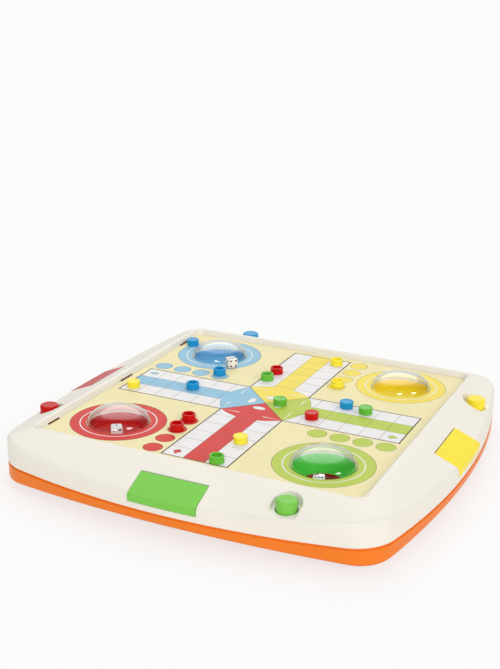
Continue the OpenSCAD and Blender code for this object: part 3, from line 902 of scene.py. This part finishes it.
# %% Posts and spring seats of the lower shell
dome_low, dome_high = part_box("dome_green")
dome_at = (dome_low + dome_high) / 2
lever_low, lever_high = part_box("popper_lever_green")
spring_low, spring_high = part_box("popper_spring_green")
PIVOT_REACH = 36 * MM
pivot_out = PIVOT_REACH - dome_at.y
pivot_z = (lever_low.z + lever_high.z) / 2
hub_r = lever_high.z - pivot_z
POST_T = 4 * MM
POST_STEP = 6.5 * MM
WIRE_R = 0.4 * MM
SPRING_R = 4.5 * MM
STOP_DROP = 6.5 * MM
SEAT_GAP = 0.05 * MM
SEAT_STEPS = 32
ARCH_STEPS = 16


def pivot_post(k, side):
    """Arched post that holds one end of a lever's pin."""
    foot_z = base_deck + WALL / 2
    arch = [(pivot_out - hub_r, foot_z), (pivot_out + hub_r, foot_z)]
    arch += [(pivot_out + a, pivot_z + b) for a, b in arc(hub_r, 0, math.pi, ARCH_STEPS)]
    x = button_at.x + side * POST_STEP
    return prism(arch, (x - POST_T / 2, x + POST_T / 2), k)


def spring_seat(k):
    """Seat under a spring, with a post inside the spring that stops the lever. Its foot follows the rim."""
    x, y, _ = button_at
    seat_z = spring_low.z - SEAT_GAP
    seat_r, post_r = SPRING_R + 2 * WIRE_R, SPRING_R - 3 * WIRE_R
    foot = [Vector((p.x, p.y, lower_z(p) + WALL / 2)) for p in circle(x, y, seat_r, 0, SEAT_STEPS)]
    profile = [(seat_r, seat_z), (post_r, seat_z), (post_r, pivot_z - STOP_DROP)]
    rows = [foot] + [circle(x, y, r, z, SEAT_STEPS) for r, z in profile]
    return bridge([[turned(p, k) for p in points] for points in rows], capped=True)


posts = [pivot_post(k, side) for k in range(4) for side in (-1, 1)]
cut(tray, posts + on_sides(spring_seat), "UNION")
dress(tray, "case", "orange_shell", "base_frame")
print("lower shell with posts and seats", len(tray.data.polygons), "faces")

# %% [markdown]
# ## Clear domes and dice cups
# Each dome is a thin clear cap that hangs by a flange under the card, over a coloured cup. Both are turned
# shapes. The dome keeps its true wall, so that light bends twice as it does in the real one and its edge
# shows as a bright line. The green cup is a bowl that is open at its foot, with a dark lining round its
# paddle. The others look closed.

# %% Domes and cups
FLANGE_W = 3.6 * MM
FLANGE_T = 1.2 * MM
DOME_T = 1.4 * MM
CUP_T = 1.5 * MM
CUP_FILLET = 3 * MM
ARC_STEPS = 28
DOME_STEPS = 96
OPEN_CUPS = ("green",)
PIT_R = 16 * MM
PIT_DROP = 6.5 * MM
PIT_EDGE = 0.3 * MM
LINING_T = 0.8 * MM
LINING_H = 6 * MM
LINING_TURN = math.radians(12)
LINING_STEPS = 32
PADDLE_HALF = 15 * MM
PADDLE_ROOM = 5 * MM
FROSTED = plastic("frosted_flange", "#eeece4", 0.4, 0.5)
flange_r = (dome_high.x - dome_low.x) / 2
dome_r = flange_r - FLANGE_W
cup_r = dome_r - FIT_GAP
cup_low, cup_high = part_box("dice_cup_green")


def arch_profile(radius, rise, foot):
    """Quarter of an ellipse, from its top on the axis down to its foot."""
    turns = [math.pi / 2 * i / ARC_STEPS for i in range(ARC_STEPS + 1)]
    return [(radius * math.sin(a) if i else 0, foot + rise * math.cos(a)) for i, a in enumerate(turns)]


def dome(player, k):
    top, foot = dome_high.z, deck_high.z
    profile = arch_profile(dome_r, top - foot, foot)
    profile += [(flange_r, foot), (flange_r, foot - FLANGE_T), (dome_r - DOME_T, foot - FLANGE_T)]
    profile += reversed(arch_profile(dome_r - DOME_T, top - foot - DOME_T, foot))
    at = turned(dome_at, k)
    made = new_object("clear_dome_" + player, lathe(profile, at, DOME_STEPS), CLEAR, FROSTED)
    for face in made.data.polygons:
        outside = (face.center - at).to_2d().length > dome_r
        face.material_index = int(outside or face.center.z < foot - FLANGE_T / 2)
    dress(made, "case", "clear_dome", "dome_" + player)


cup_edge = FLANGE_T / 4
flange_low = cup_high.z - FLANGE_T
cup_flange = [(cup_r, flange_low, cup_edge), (flange_r, flange_low, cup_edge),
              (flange_r, cup_high.z, cup_edge), (cup_r - CUP_T, cup_high.z, cup_edge)]
pit_foot = cup_low.z - PIT_DROP


def cup_shape(at):
    """A cup with a flat floor."""
    inside = cup_low.z + CUP_T
    profile = [(0, cup_low.z, 0), (cup_r, cup_low.z, CUP_T), *cup_flange,
               (cup_r - CUP_T, inside, CUP_FILLET), (0, inside, 0)]
    return lathe(rounded(profile), at, DOME_STEPS)


def bowl_shape(at):
    """A bowl that narrows to a round opening."""
    profile = [(PIT_R + CUP_T, pit_foot, PIT_EDGE), *cup_flange, (PIT_R, pit_foot, PIT_EDGE)]
    return bridge([circle(at.x, at.y, r, z, DOME_STEPS) for r, z in rounded(profile)], closed=True)


def lining(k):
    """Half of a tube under the opening of a bowl, on the side that its lever leaves free."""
    ends = LINING_TURN, math.pi - LINING_TURN
    flat = arc(PIT_R, *ends, LINING_STEPS) + arc(PIT_R + LINING_T, *ends, LINING_STEPS)[::-1]
    return bridge([[turned((dome_at.x + x, dome_at.y + y, z), k) for x, y in flat]
                   for z in (pit_foot - LINING_H, pit_foot + 2 * PIT_EDGE)], capped=True)


def paddle_room(k):
    """Room for the paddle and its lever in the near half of a bowl's foot."""
    profile = block(-dome_at.y, pit_foot - PIT_DROP, -dome_at.y + 2 * PIT_R, pit_foot + PADDLE_ROOM)
    return prism(profile, (dome_at.x - PADDLE_HALF, dome_at.x + PADDLE_HALF), k)


def dice_cup(player, k):
    is_open = player in OPEN_CUPS
    shape = bowl_shape if is_open else cup_shape
    made = new_object("dice_bowl_" + player, shape(turned(dome_at, k)), CUP[player])
    if is_open:
        cut(made, [lining(k)], "UNION", LEVER)
        cut(made, [paddle_room(k)], finish=LEVER)
    dress(made, "case", player + "_cup", "dice_cup_" + player)


for k, player in enumerate(PLAYERS):
    dome(player, k)
    dice_cup(player, k)
cup_depth = deck_high.z - cup_low.z
print("domes of radius", round(dome_r / MM, 2), "mm over cups", round(cup_depth / MM, 2), "mm deep")

# %% [markdown]
# ## Buttons, lids and springs
# A button is a turned cap with a soft edge and a slightly dished top, on a flange that keeps it in its
# well. A lid is a plate that lies flush in the rim and folds over the side wall. It is drawn along the bow
# of its side, and its ends are rounded. The return springs are wires along a helix.

# %% Popper buttons
BUTTON_EDGE = 1.6 * MM
DISH = 0.35 * MM
DISH_INSET, DISH_ROUND = 4.16 * MM, 1.5 * MM
RIM_INSET, RIM_ROUND = 3.04 * MM, 0.5 * MM
FLANGE_REACH = 1.4 * MM
BUTTON_FLANGE_T = 1.6 * MM
STEM_R = 3 * MM
STEM_ROUND = 2.7 * MM


def popper_button(player, k):
    top, low = button_high.z, button_low.z
    flange_r = button_r + BUTTON_GAP + FLANGE_REACH
    rim_below = inner_roof((0, button_at.y - flange_r))
    flange_top = min(well_floor - WALL, rim_below) - FIT_GAP / 2
    flange_low = flange_top - BUTTON_FLANGE_T
    profile = [(0, top - DISH, 0), (button_r - DISH_INSET, top - DISH, DISH_ROUND),
               (button_r - RIM_INSET, top, RIM_ROUND), (button_r, top, BUTTON_EDGE),
               (button_r, flange_top, 0), (flange_r, flange_top, DISH), (flange_r, flange_low, DISH),
               (STEM_R, flange_low, DISH), (STEM_R, low, STEM_ROUND), (0, low, 0)]
    shape = lathe(rounded(profile), turned(button_at, k), BUTTON_STEPS)
    made = new_object("popper_cap_" + player, shape, FLAP[player])
    dress(made, "button_" + player, player + "_button", "popper_button_" + player)


for k, player in enumerate(PLAYERS):
    popper_button(player, k)
print("button tops at", round(button_high.z / MM, 2), "mm")

# %% Store lids
KNUCKLE_R = 1.45 * MM
KNUCKLE_ROUND = 1.3775 * MM
LID_FOLD_R, LID_EDGE_R, LID_INNER_R, LID_END_R = 1.5 * MM, 0.8 * MM, 0.5 * MM, 0.7 * MM
STUB_R = 0.9 * MM
STUB_STEPS = 16


def lid_profile(x):
    """Section of a lid, square to its side, at a distance along that side."""
    outer = bow_edge(x) + LID_PROUD
    inner = outer - LID_LIP_T
    under = upper_z((0, inner)) - LID_T / math.cos(UPPER_FALL)
    knuckle = [(*on_fall(hinge_slope - KNUCKLE_R, LID_T / 2 + side * KNUCKLE_R), KNUCKLE_ROUND)
               for side in (-1, 1)]
    return rounded([knuckle[0], (outer, upper_z((0, outer)), LID_FOLD_R), (outer, lid_low.z, LID_EDGE_R),
                    (inner, lid_low.z, LID_INNER_R), (inner, under, LID_EDGE_R), knuckle[1]])


def store_lid(player, k):
    xs = [lid_half * (2 * i / LID_STEPS - 1) for i in range(LID_STEPS + 1)]
    made = new_object("store_flap_" + player, prism(lid_profile, xs, k), FLAP[player])
    round_edges(made, lambda p: abs(abs(front_of(p).x) - lid_half) < NEAR, LID_END_R)
    hinge_at, hinge_z = on_fall(hinge_slope, LID_T / 2)
    pin = [(hinge_at + a, hinge_z + b) for a, b in ring(STUB_R, STUB_STEPS)]
    cut(made, [prism(pin, (-lid_half - STUB_LEN, lid_half + STUB_LEN), k)], "UNION")
    dress(made, "lid_" + player, player + "_lid", "store_lid_" + player)


for k, player in enumerate(PLAYERS):
    store_lid(player, k)
print("lids", round(2 * lid_half / MM, 1), "mm long")

# %% Return springs
SPRING_TURNS = 4
RINGS_PER_TURN = 32
WIRE_SIDES = 10


def return_spring(player, k):
    x, y, _ = turned(button_at, k)
    low, high = spring_low.z + WIRE_R, spring_high.z - WIRE_R
    rows = []
    count = SPRING_TURNS * RINGS_PER_TURN
    for i in range(count + 1):
        turn = math.tau * i / RINGS_PER_TURN
        out = Vector((math.cos(turn), math.sin(turn), 0))
        middle = Vector((x, y, low + (high - low) * i / count)) + out * SPRING_R
        rows.append([middle + out * a + Vector((0, 0, b)) for a, b in ring(WIRE_R, WIRE_SIDES)])
    made = dress(new_object("coil_" + player, bridge(rows, capped=True), STEEL),
                 "case", "steel", "popper_spring_" + player)
    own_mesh(made)


for k, player in enumerate(PLAYERS):
    return_spring(player, k)
print("springs", round((spring_high.z - spring_low.z) / MM, 2), "mm long at rest")

# %% [markdown]
# ## Counters and dice
# A counter is a small cup with a soft ring at its mouth, a slight waist and a dished foot. Some stand on
# the foot with the mouth up and some stand on the mouth. A die is a cube with rounded edges and drilled,
# painted pips.

# %% Counters
FOOT_UP = ("green_2", "green_3", "yellow_3", "yellow_4", "blue_1", "blue_4", "red_4")
RING_R = 6.05 * MM
RING_H = 1.5 * MM
WAIST_R = 5.8 * MM
FOOT_H = 2 * MM
DISHED_R = 4.4 * MM
DISHED_D = 0.3 * MM
SOCKET_R = 4.3 * MM
SOCKET_D = 4.2 * MM
COUNTER_STEPS = 48


def counter(player, number):
    """One counter. Each corner of its profile is a radius, a height and a round."""
    low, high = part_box(f"pawn_{player}_{number}")
    middle = (low + high) / 2
    foot_r, tall = (high.x - low.x) / 2, high.z - low.z
    waist = (FOOT_H + tall - RING_H) / 2
    profile = [(0, DISHED_D, 0), (DISHED_R, DISHED_D, 0.15 * MM), (DISHED_R + DISHED_D, 0, 0.15 * MM),
               (foot_r, 0, 0.5 * MM), (foot_r, FOOT_H, 0.4 * MM), (WAIST_R, waist, 1.2 * MM),
               (RING_R, tall - RING_H, 0.4 * MM), (RING_R, tall, 0.6 * MM), (SOCKET_R, tall, 0.5 * MM),
               (SOCKET_R, tall - SOCKET_D, 0.6 * MM), (0, tall - SOCKET_D, 0)]
    upside_down = f"{player}_{number}" in FOOT_UP
    turned_profile = [(r, high.z - z if upside_down else low.z + z) for r, z in rounded(profile)]
    shape = lathe(turned_profile, middle, COUNTER_STEPS)
    made = new_object(f"counter_{player}_{number}", shape, COUNTER[player])
    dress(made, f"counter_{player}_{number}", player + "_counter", f"pawn_{player}_{number}")


for player in PLAYERS:
    for number in range(1, 5):
        counter(player, number)
print("counters", 4 * len(PLAYERS))

# %% Dice
DIE_EDGE_R = 1.9 * MM
PIP_R = 1.45 * MM
PIP_SINK = 0.5 * MM
PIP_STEP = 2.6 * MM
PIP_RINGS, PIP_SIDES = 8, 16
MIDDLE = [(0, 0)]
ACROSS = [(-1, -1), (1, 1)]
CORNERS = [(-1, -1), (-1, 1), (1, -1), (1, 1)]
PIPS = {1: MIDDLE, 2: ACROSS, 3: ACROSS + MIDDLE, 4: CORNERS, 5: CORNERS + MIDDLE,
        6: CORNERS + [(-1, 0), (1, 0)]}


def pip_ball(place):
    """A small ball that drills one pip."""
    half_turn = arc(PIP_R, 0, math.pi, PIP_RINGS)
    profile = [(0, PIP_R), *((r, z) for z, r in half_turn[1:-1]), (0, -PIP_R)]
    points, faces = lathe(profile, (0, 0), PIP_SIDES)
    return [p + place for p in points], faces


def die(name, body, node, turn, top, front, left):
    """A die at its CAD node's place. Opposite faces add up to seven."""
    low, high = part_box(node)
    size = high.z - low.z
    edit = bmesh.new()
    bmesh.ops.create_cube(edit, size=size)
    bmesh.ops.bevel(edit, geom=edit.edges[:], offset=DIE_EDGE_R, segments=5, profile=0.5, affect="EDGES")
    shape = [v.co.copy() for v in edit.verts], [tuple(v.index for v in f.verts) for f in edit.faces]
    edit.free()
    made = new_object(name, shape, DIE_WHITE)
    faces = {(0, 0, 1): top, (0, 0, -1): 7 - top, (0, -1, 0): front, (0, 1, 0): 7 - front,
             (-1, 0, 0): left, (1, 0, 0): 7 - left}
    drills = {PIP_RED: [], PIP_BLUE: []}
    for facing, value in faces.items():
        out = Vector(facing)
        across = Vector((facing[1], facing[2], facing[0]))
        up = out.cross(across)
        for a, b in PIPS[value]:
            place = out * (size / 2 + PIP_R - PIP_SINK) + (across * a + up * b) * PIP_STEP
            drills[PIP_RED if value == 4 else PIP_BLUE].append(pip_ball(place))
    for finish, balls in drills.items():
        cut(made, balls, finish=finish)
    made.data.transform(Matrix.Translation((low + high) / 2) @ Matrix.Rotation(math.radians(turn), 4, "Z"))
    dress(made, body, "dice_plastic", node)


die("die_in_green_cup", "die_green", "green_cup_die", turn=20, top=6, front=2, left=3)
die("die_in_red_cup", "die_red", "red_cup_die", turn=305, top=1, front=5, left=3)
die("die_on_board", "die_loose", "loose_die", turn=51, top=6, front=4, left=5)
print("dice", 3)

# %% [markdown]
# ## Printed cards
# The print is flat, but its edges are crisp from any distance, so it is drawn as geometry and not as a
# picture. Each card is a list of polygons in the order in which a printer would lay the inks. One Delaunay
# partition cuts the face of the card along all of them, and each triangle takes the ink of the last polygon
# that covers it.

# %% A card from its inks
ROUND_STEPS = 72
MERGE = 0.001 * MM


def disc(x, y, radius, steps=ROUND_STEPS):
    """Polygon of a printed disc."""
    return [p.to_2d() for p in circle(x, y, radius, 0, steps)]


def card_outline():
    """Polygon of a card, with its round corners."""
    half = card_high.x
    return rounded([(*p, BOARD_CORNER_R) for p in block(-half, -half, half, half)], 8)


def counter_clockwise(polygon):
    turn = sum(a.cross(b) for a, b in zip(polygon, [*polygon[1:], polygon[0]]))
    return polygon if turn > 0 else polygon[::-1]


def partition(paints):
    """Points, triangles and the index of the topmost paint of each triangle."""
    points, faces = [], []
    for _, polygon in paints:
        faces.append(list(range(len(points), len(points) + len(polygon))))
        points += counter_clockwise(polygon)
    found = delaunay_2d_cdt(points, [], faces, 1, MERGE, True)
    return found[0], found[2], [max(origin) for origin in found[5]]


def printed_card(name, node, slot, paints, holes, face_z, back_z, mirrored):
    """A thin card whose face is cut along its paints. Each paint is an ink and a polygon."""
    inks = list(dict.fromkeys(finish for finish, _ in paints))
    edit = bmesh.new()
    side = -1 if mirrored else 1
    bare = [paints[0]] + [(None, hole) for hole in holes]
    for layers, z in ((paints + bare[1:], face_z), (bare, back_z)):
        points, faces, origins = partition(layers)
        verts = [edit.verts.new((side * p.x, p.y, z)) for p in points]
        for face, origin in zip(faces, origins):
            if layers[origin][0]:
                edit.faces.new([verts[i] for i in face]).material_index = inks.index(layers[origin][0])
    for _, loop in bare:
        for a, b in zip(loop, [*loop[1:], loop[0]]):
            edit.faces.new([edit.verts.new((side * p.x, p.y, z)) for p, z in
                            ((a, face_z), (b, face_z), (b, back_z), (a, back_z))])
    bmesh.ops.remove_doubles(edit, verts=edit.verts, dist=MERGE)
    bmesh.ops.recalc_face_normals(edit, faces=edit.faces)
    mesh = bpy.data.meshes.new(name)
    edit.to_mesh(mesh)
    edit.free()
    for finish in inks:
        mesh.materials.append(finish)
    dress(linked(name, mesh), "case", slot, node)
    print(name, len(mesh.polygons), "faces in", len(inks), "inks")


print("card half", round(card_high.x / MM, 2), "mm")

# %% [markdown]
# ### Ludo
# The usual ludo track is a cross of four arms with three rows of squares, a coloured home row in the middle
# of each arm and coloured arrowheads that meet in the centre. Four start spots lie beside each arm and a
# coloured disc surrounds each dome. One arm is described along u, with v across it, and then turned to the
# four sides.

# %% Ludo print
SHEET = ink("sheet_ink", "#f3e8b4")
WHITE = ink("white_ink", "#f1eeee")
LINE = ink("line_ink", "#4a4238")
CELL_LINE = ink("cell_line_ink", "#77716c")
TINT = {"green": ink("green_ink", "#bcd052"), "yellow": ink("yellow_ink", "#f8e25c"),
        "blue": ink("blue_ink", "#94c5de"), "red": ink("red_ink", "#d83a34")}
ARM_HALF = 30 * MM
ARM_END = 137.4 * MM
HOME_HALF = 10 * MM
ARROW_END = 40 * MM
CELL_LINES = [u * MM for u in (43.5, 62, 81, 100, 118.5)]
START_SPOTS = [u * MM for u in (68, 88.5, 109, 129.5)]
SPOT_V = -42 * MM
SPOT_R = 8.5 * MM
THIN = 0.35 * MM
BOLD = 1.3 * MM
DISC_R = 42.1 * MM
WHITE_RING_R = 33.7 * MM
WHITE_RING_W = 1.0 * MM
DOME_GAP = 0.4 * MM
NOTCH_INSET = 0.05 * MM
BARB_BOW = 1.2 * MM
BARB_STEPS = 6
HOME_OVERLAP = 4 * MM
OVAL_AT, OVAL_LONG, OVAL_WIDE = 13.5 * MM, 3.4 * MM, 6.2 * MM
STROKE = [(u * MM, v * MM) for u, v in ((30, 27.5), (29.3, 12), (29.9, 10.5), (30.6, 12))]
DIAMOND = [Vector((u, v)) * MM for u, v in ((123, -20), (127, -23.6), (133, -20), (127, -16.4))]


def barb(side):
    """Slightly bowed back edge of an arrowhead, from the corner of the centre to the home row."""
    start, end = Vector((ARM_HALF, side * ARM_HALF)), Vector((ARROW_END, side * HOME_HALF))
    across = Vector((ARM_HALF - HOME_HALF, side * (ARROW_END - ARM_HALF))).normalized()
    shares = [i / BARB_STEPS for i in range(BARB_STEPS + 1)]
    return [start.lerp(end, s) + across * 4 * s * (1 - s) * BARB_BOW for s in shares]


def shrunk(polygon, by):
    """The polygon drawn in from its edge by about this much."""
    middle = sum(polygon, Vector((0, 0))) / len(polygon)
    return [p + (middle - p).normalized() * by for p in polygon]


def arm_paints(tint):
    """Inks of one arm, in its own frame."""
    end, inside, fine = ARM_END - BOLD, ARM_HALF - BOLD / 2, THIN / 2
    outer, inner = HOME_HALF + fine, HOME_HALF - fine
    arrow = [Vector((0, 0))] + barb(-1) + barb(1)[::-1]
    oval = [Vector((OVAL_AT + a * OVAL_LONG, b * OVAL_WIDE)) for a, b in ring(1, 40)]
    paints = [(LINE, arrow), (tint, shrunk(arrow, THIN)),
              (CELL_LINE, block(ARROW_END, -outer, end, outer)),
              (tint, block(ARROW_END - HOME_OVERLAP, -inner, end, inner))]
    paints += [(CELL_LINE, block(u - fine, -inside, u + fine, inside)) for u in CELL_LINES]
    paints += [(WHITE, [Vector((u, side * v)) for u, v in STROKE]) for side in (-1, 1)]
    paints += [(LINE, oval), (WHITE, shrunk(oval, fine)), (LINE, DIAMOND), (tint, shrunk(DIAMOND, 3 * fine))]
    for u in START_SPOTS:
        paints += [(LINE, disc(u, SPOT_V, SPOT_R)), (tint, disc(u, SPOT_V, SPOT_R - THIN))]
    return paints


def turned_paints(paints, k):
    return [(finish, [turned((*p, 0), k).to_2d() for p in polygon]) for finish, polygon in paints]


def ludo_paints():
    """All inks of the ludo face, from the sheet up."""
    paints = [(SHEET, card_outline())]
    for finish, inset in ((LINE, 0), (WHITE, BOLD)):
        end, half = ARM_END - inset, ARM_HALF + BOLD / 2 - inset
        paints += [(finish, block(-w, -h, w, h)) for w, h in ((end, half), (half, end))]
    for k, player in enumerate(PLAYERS):
        paints += turned_paints(arm_paints(TINT[player]), k)
    for k, player in enumerate(PLAYERS):
        x, y, _ = turned(dome_at, k)
        for finish, radius in ((LINE, DISC_R), (TINT[player], DISC_R - THIN), (WHITE, WHITE_RING_R),
                               (TINT[player], WHITE_RING_R - WHITE_RING_W)):
            paints.append((finish, disc(x, y, radius, DOME_STEPS)))
    return paints


def tongue_notch(x, length, k):
    """Opening in the edge of the card, over a tongue of the recess wall."""
    edge, inner = NOTCH_INSET - card_high.x, TONGUE_W - board_half
    flat = block(x - length / 2, edge, x + length / 2, inner)
    return [turned((*p, 0), k).to_2d() for p in flat]


holes = [disc(*turned(dome_at, k).to_2d(), dome_r + DOME_GAP, DOME_STEPS) for k in range(4)]
holes += [tongue_notch(x, length, k) for x, length in SLOTS for k in TONGUE_SIDES]
printed_card("printed_ludo_card", "ludo_board", "ludo_card", ludo_paints(), holes,
             card_high.z, card_low.z, mirrored=False)

# %% [markdown]
# ### Snakes and ladders
# The lower face is a field of ten by ten numbered squares in green and white. The snakes and ladders have a
# plain layout of their own. A snake is a strip that swings along its way and tapers to the tail. A ladder
# is two rails with rungs. The numbers are traced from Blender's own font, so they are cut into the face
# like every other ink. The partition fills a polygon from one of its edges, which goes wrong where a
# polygon is flat or shares its corners. So slivers of the digits are left out, and the squares stay a hair
# apart.

# %% Helpers for the snakes and ladders print
SQUARE = 28.4 * MM
FIELD = 10
SQUARE_GAP = 0.02 * MM
SLIVER = 1e-5  # in squares as tall as a digit


def square_middle(number):
    """Middle of a numbered square. The numbers run to and fro, up from the left."""
    step_up, step = divmod(number - 1, FIELD)
    across = FIELD - 1 - step if step_up % 2 else step
    return Vector((across - (FIELD - 1) / 2, step_up - (FIELD - 1) / 2)) * SQUARE


def strip(path, widths):
    """Four-cornered pieces along a path, with a width at each of its points."""
    sides = []
    for i, here in enumerate(path):
        along = path[min(i + 1, len(path) - 1)] - path[max(i - 1, 0)]
        across = Vector((-along.y, along.x)).normalized() * widths[i] / 2
        sides.append((here - across, here + across))
    return [[a[0], b[0], b[1], a[1]] for a, b in zip(sides, sides[1:])]


def digit_shapes():
    """Flat polygons of the ten digits, about one unit tall."""
    shapes = {}
    for digit in "0123456789":
        curve = bpy.data.curves.new("digit", "FONT")
        curve.body = digit
        curve.resolution_u = 3
        letter = linked("digit", curve)
        mesh = bpy.data.meshes.new_from_object(letter.evaluated_get(bpy.context.evaluated_depsgraph_get()))
        corners = [v.co.to_2d() for v in mesh.vertices]
        shapes[digit] = [[corners[i] for i in face.vertices] for face in mesh.polygons if face.area > SLIVER]
        bpy.data.objects.remove(letter)
        bpy.data.curves.remove(curve)
        bpy.data.meshes.remove(mesh)
    return shapes


DIGITS = digit_shapes()
print("digits traced", len(DIGITS), "with", sum(len(s) for s in DIGITS.values()), "faces")

# %% Snakes and ladders print
FIELD_GREEN = ink("field_green_ink", "#9ccb6c")
FIELD_WHITE = ink("field_white_ink", "#f3f2ea")
NUMBER = ink("number_ink", "#2f3330")
RAIL = ink("ladder_ink", "#e7b53a")
RAIL_EDGE = ink("ladder_edge_ink", "#9a6a22")
EYE = ink("eye_ink", "#fbfbf6")
SNAKE_INKS = [(ink("snake_violet_ink", "#8a5fa8"), ink("snake_lilac_ink", "#c9a5dd")),
              (ink("snake_blue_ink", "#3f86c4"), ink("snake_sky_ink", "#a9d3ee")),
              (ink("snake_brick_ink", "#c4553c"), ink("snake_sand_ink", "#f0c084"))]
SNAKES = ((96, 63), (84, 35), (67, 27), (52, 12), (99, 59), (48, 9))
LADDERS = ((3, 24), (15, 45), (32, 70), (41, 80), (51, 92), (6, 29), (74, 94))
DIGIT_SIZE = 8.5 * MM
SNAKE_STEPS = 48
SNAKE_W = 8 * MM
SNAKE_SWING = 9 * MM
LADDER_HALF = 4.2 * MM
RUNG_STEP = 8.5 * MM
RAIL_W = 2.2 * MM
EDGE_W = 0.7 * MM
NUMBER_INSET = 0.4 * SQUARE
DIGIT_STEP = 0.6 * DIGIT_SIZE
SNAKE_WAVE = 2.6 * SQUARE
TAIL_W = 0.4 * MM
TAPER = 0.45
BAND_STEPS, BANDED = 6, (3, 4)
HEAD_STEP, HEAD_LONG, HEAD_WIDE = 0.2 * SNAKE_W, 0.95 * SNAKE_W, 0.68 * SNAKE_W
EYE_STEP, EYE_R, PUPIL_R = 0.3 * SNAKE_W, 0.2 * SNAKE_W, 0.09 * SNAKE_W


def number_paints(number):
    """Digits in the lower left of a square."""
    pen = square_middle(number) - Vector((NUMBER_INSET, NUMBER_INSET))
    paints = []
    for digit in str(number):
        paints += [(NUMBER, [pen + p * DIGIT_SIZE for p in face]) for face in DIGITS[digit]]
        pen = pen + Vector((DIGIT_STEP, 0))
    return paints


def snake_paints(head, tail, inks):
    """A swinging body with cross bands, a head and two eyes."""
    start, end = square_middle(head), square_middle(tail)
    along = end - start
    across = Vector((-along.y, along.x)).normalized()
    swings = max(round(along.length / SNAKE_WAVE), 1)
    path, widths = [], []
    for step in range(SNAKE_STEPS + 1):
        share = step / SNAKE_STEPS
        sway = math.sin(math.tau * swings * share) * SNAKE_SWING * math.sin(math.pi * share) ** 0.5
        path.append(start + along * share + across * sway)
        widths.append(SNAKE_W * (1 - share) ** TAPER + TAIL_W)
    body, band = inks
    paints = [(LINE, face) for face in strip(path, [w + EDGE_W for w in widths])]
    for step, face in enumerate(strip(path, widths)):
        paints.append((band if step % BAND_STEPS in BANDED else body, face))
    facing = (path[0] - path[2]).normalized()
    beside = Vector((-facing.y, facing.x))
    head_at = path[0] + facing * HEAD_STEP

    def blob(middle, long, wide):
        return [middle + facing * a * long + beside * b * wide for a, b in ring(1, 24)]

    paints += [(LINE, blob(head_at, HEAD_LONG + EDGE_W / 2, HEAD_WIDE + EDGE_W / 2)),
               (body, blob(head_at, HEAD_LONG, HEAD_WIDE))]
    for side in (-1, 1):
        eye = head_at + (facing + beside * side) * EYE_STEP
        paints += [(EYE, blob(eye, EYE_R, EYE_R)), (LINE, blob(eye, PUPIL_R, PUPIL_R))]
    return paints


def ladder_paints(foot, top):
    """Two rails with rungs, each with a darker edge."""
    start, end = square_middle(foot), square_middle(top)
    along = (end - start).normalized()
    across = Vector((-along.y, along.x)) * LADDER_HALF
    count = max(int((end - start).length / RUNG_STEP), 2)
    bars = []
    for rung in range(1, count):
        middle = start.lerp(end, rung / count)
        bars.append((middle - across, middle + across))
    bars += [(start + across * side, end + across * side) for side in (-1, 1)]
    paints = []
    for finish, width in ((RAIL_EDGE, RAIL_W + EDGE_W), (RAIL, RAIL_W)):
        paints += [(finish, strip(bar, (width, width))[0]) for bar in bars]
    return paints


def snakes_paints():
    """All inks of the lower face, from the sheet up."""
    paints = [(FIELD_WHITE, card_outline())]
    half = SQUARE / 2 - SQUARE_GAP
    for number in range(1, FIELD * FIELD + 1):
        middle = square_middle(number)
        if round(middle.x / SQUARE + middle.y / SQUARE) % 2:
            corners = block(-half, -half, half, half)
            paints.append((FIELD_GREEN, [middle + p for p in corners]))
        paints += number_paints(number)
    for foot, top in LADDERS:
        paints += ladder_paints(foot, top)
    for i, (head, tail) in enumerate(SNAKES):
        paints += snake_paints(head, tail, SNAKE_INKS[i % len(SNAKE_INKS)])
    return paints


printed_card("printed_snakes_card", "snakes_board", "snakes_card", snakes_paints(), [],
             snakes_low.z, snakes_high.z, mirrored=True)

# %% [markdown]
# ## Carried-over parts
# The deck under the card, the levers, their pins and the case screws are right as they are in the packed
# model. They only take a finish.

# %% Finishes of the carried-over parts
carried = {"ludo_deck": CREAM, "lever_pins": STEEL, "case_screws": STEEL}
carried.update({"popper_lever_" + player: CUP[player] for player in PLAYERS})
carried["popper_lever_green"] = LEVER
for node, finish in carried.items():
    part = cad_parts[node]
    for place in range(len(part.material_slots)):
        part.material_slots[place].material = finish
print("carried over", len(carried))

# %% [markdown]
# ## Last update
# The view layer is brought up to date.

# %% Bring the view layer up to date
bpy.context.view_layer.update()
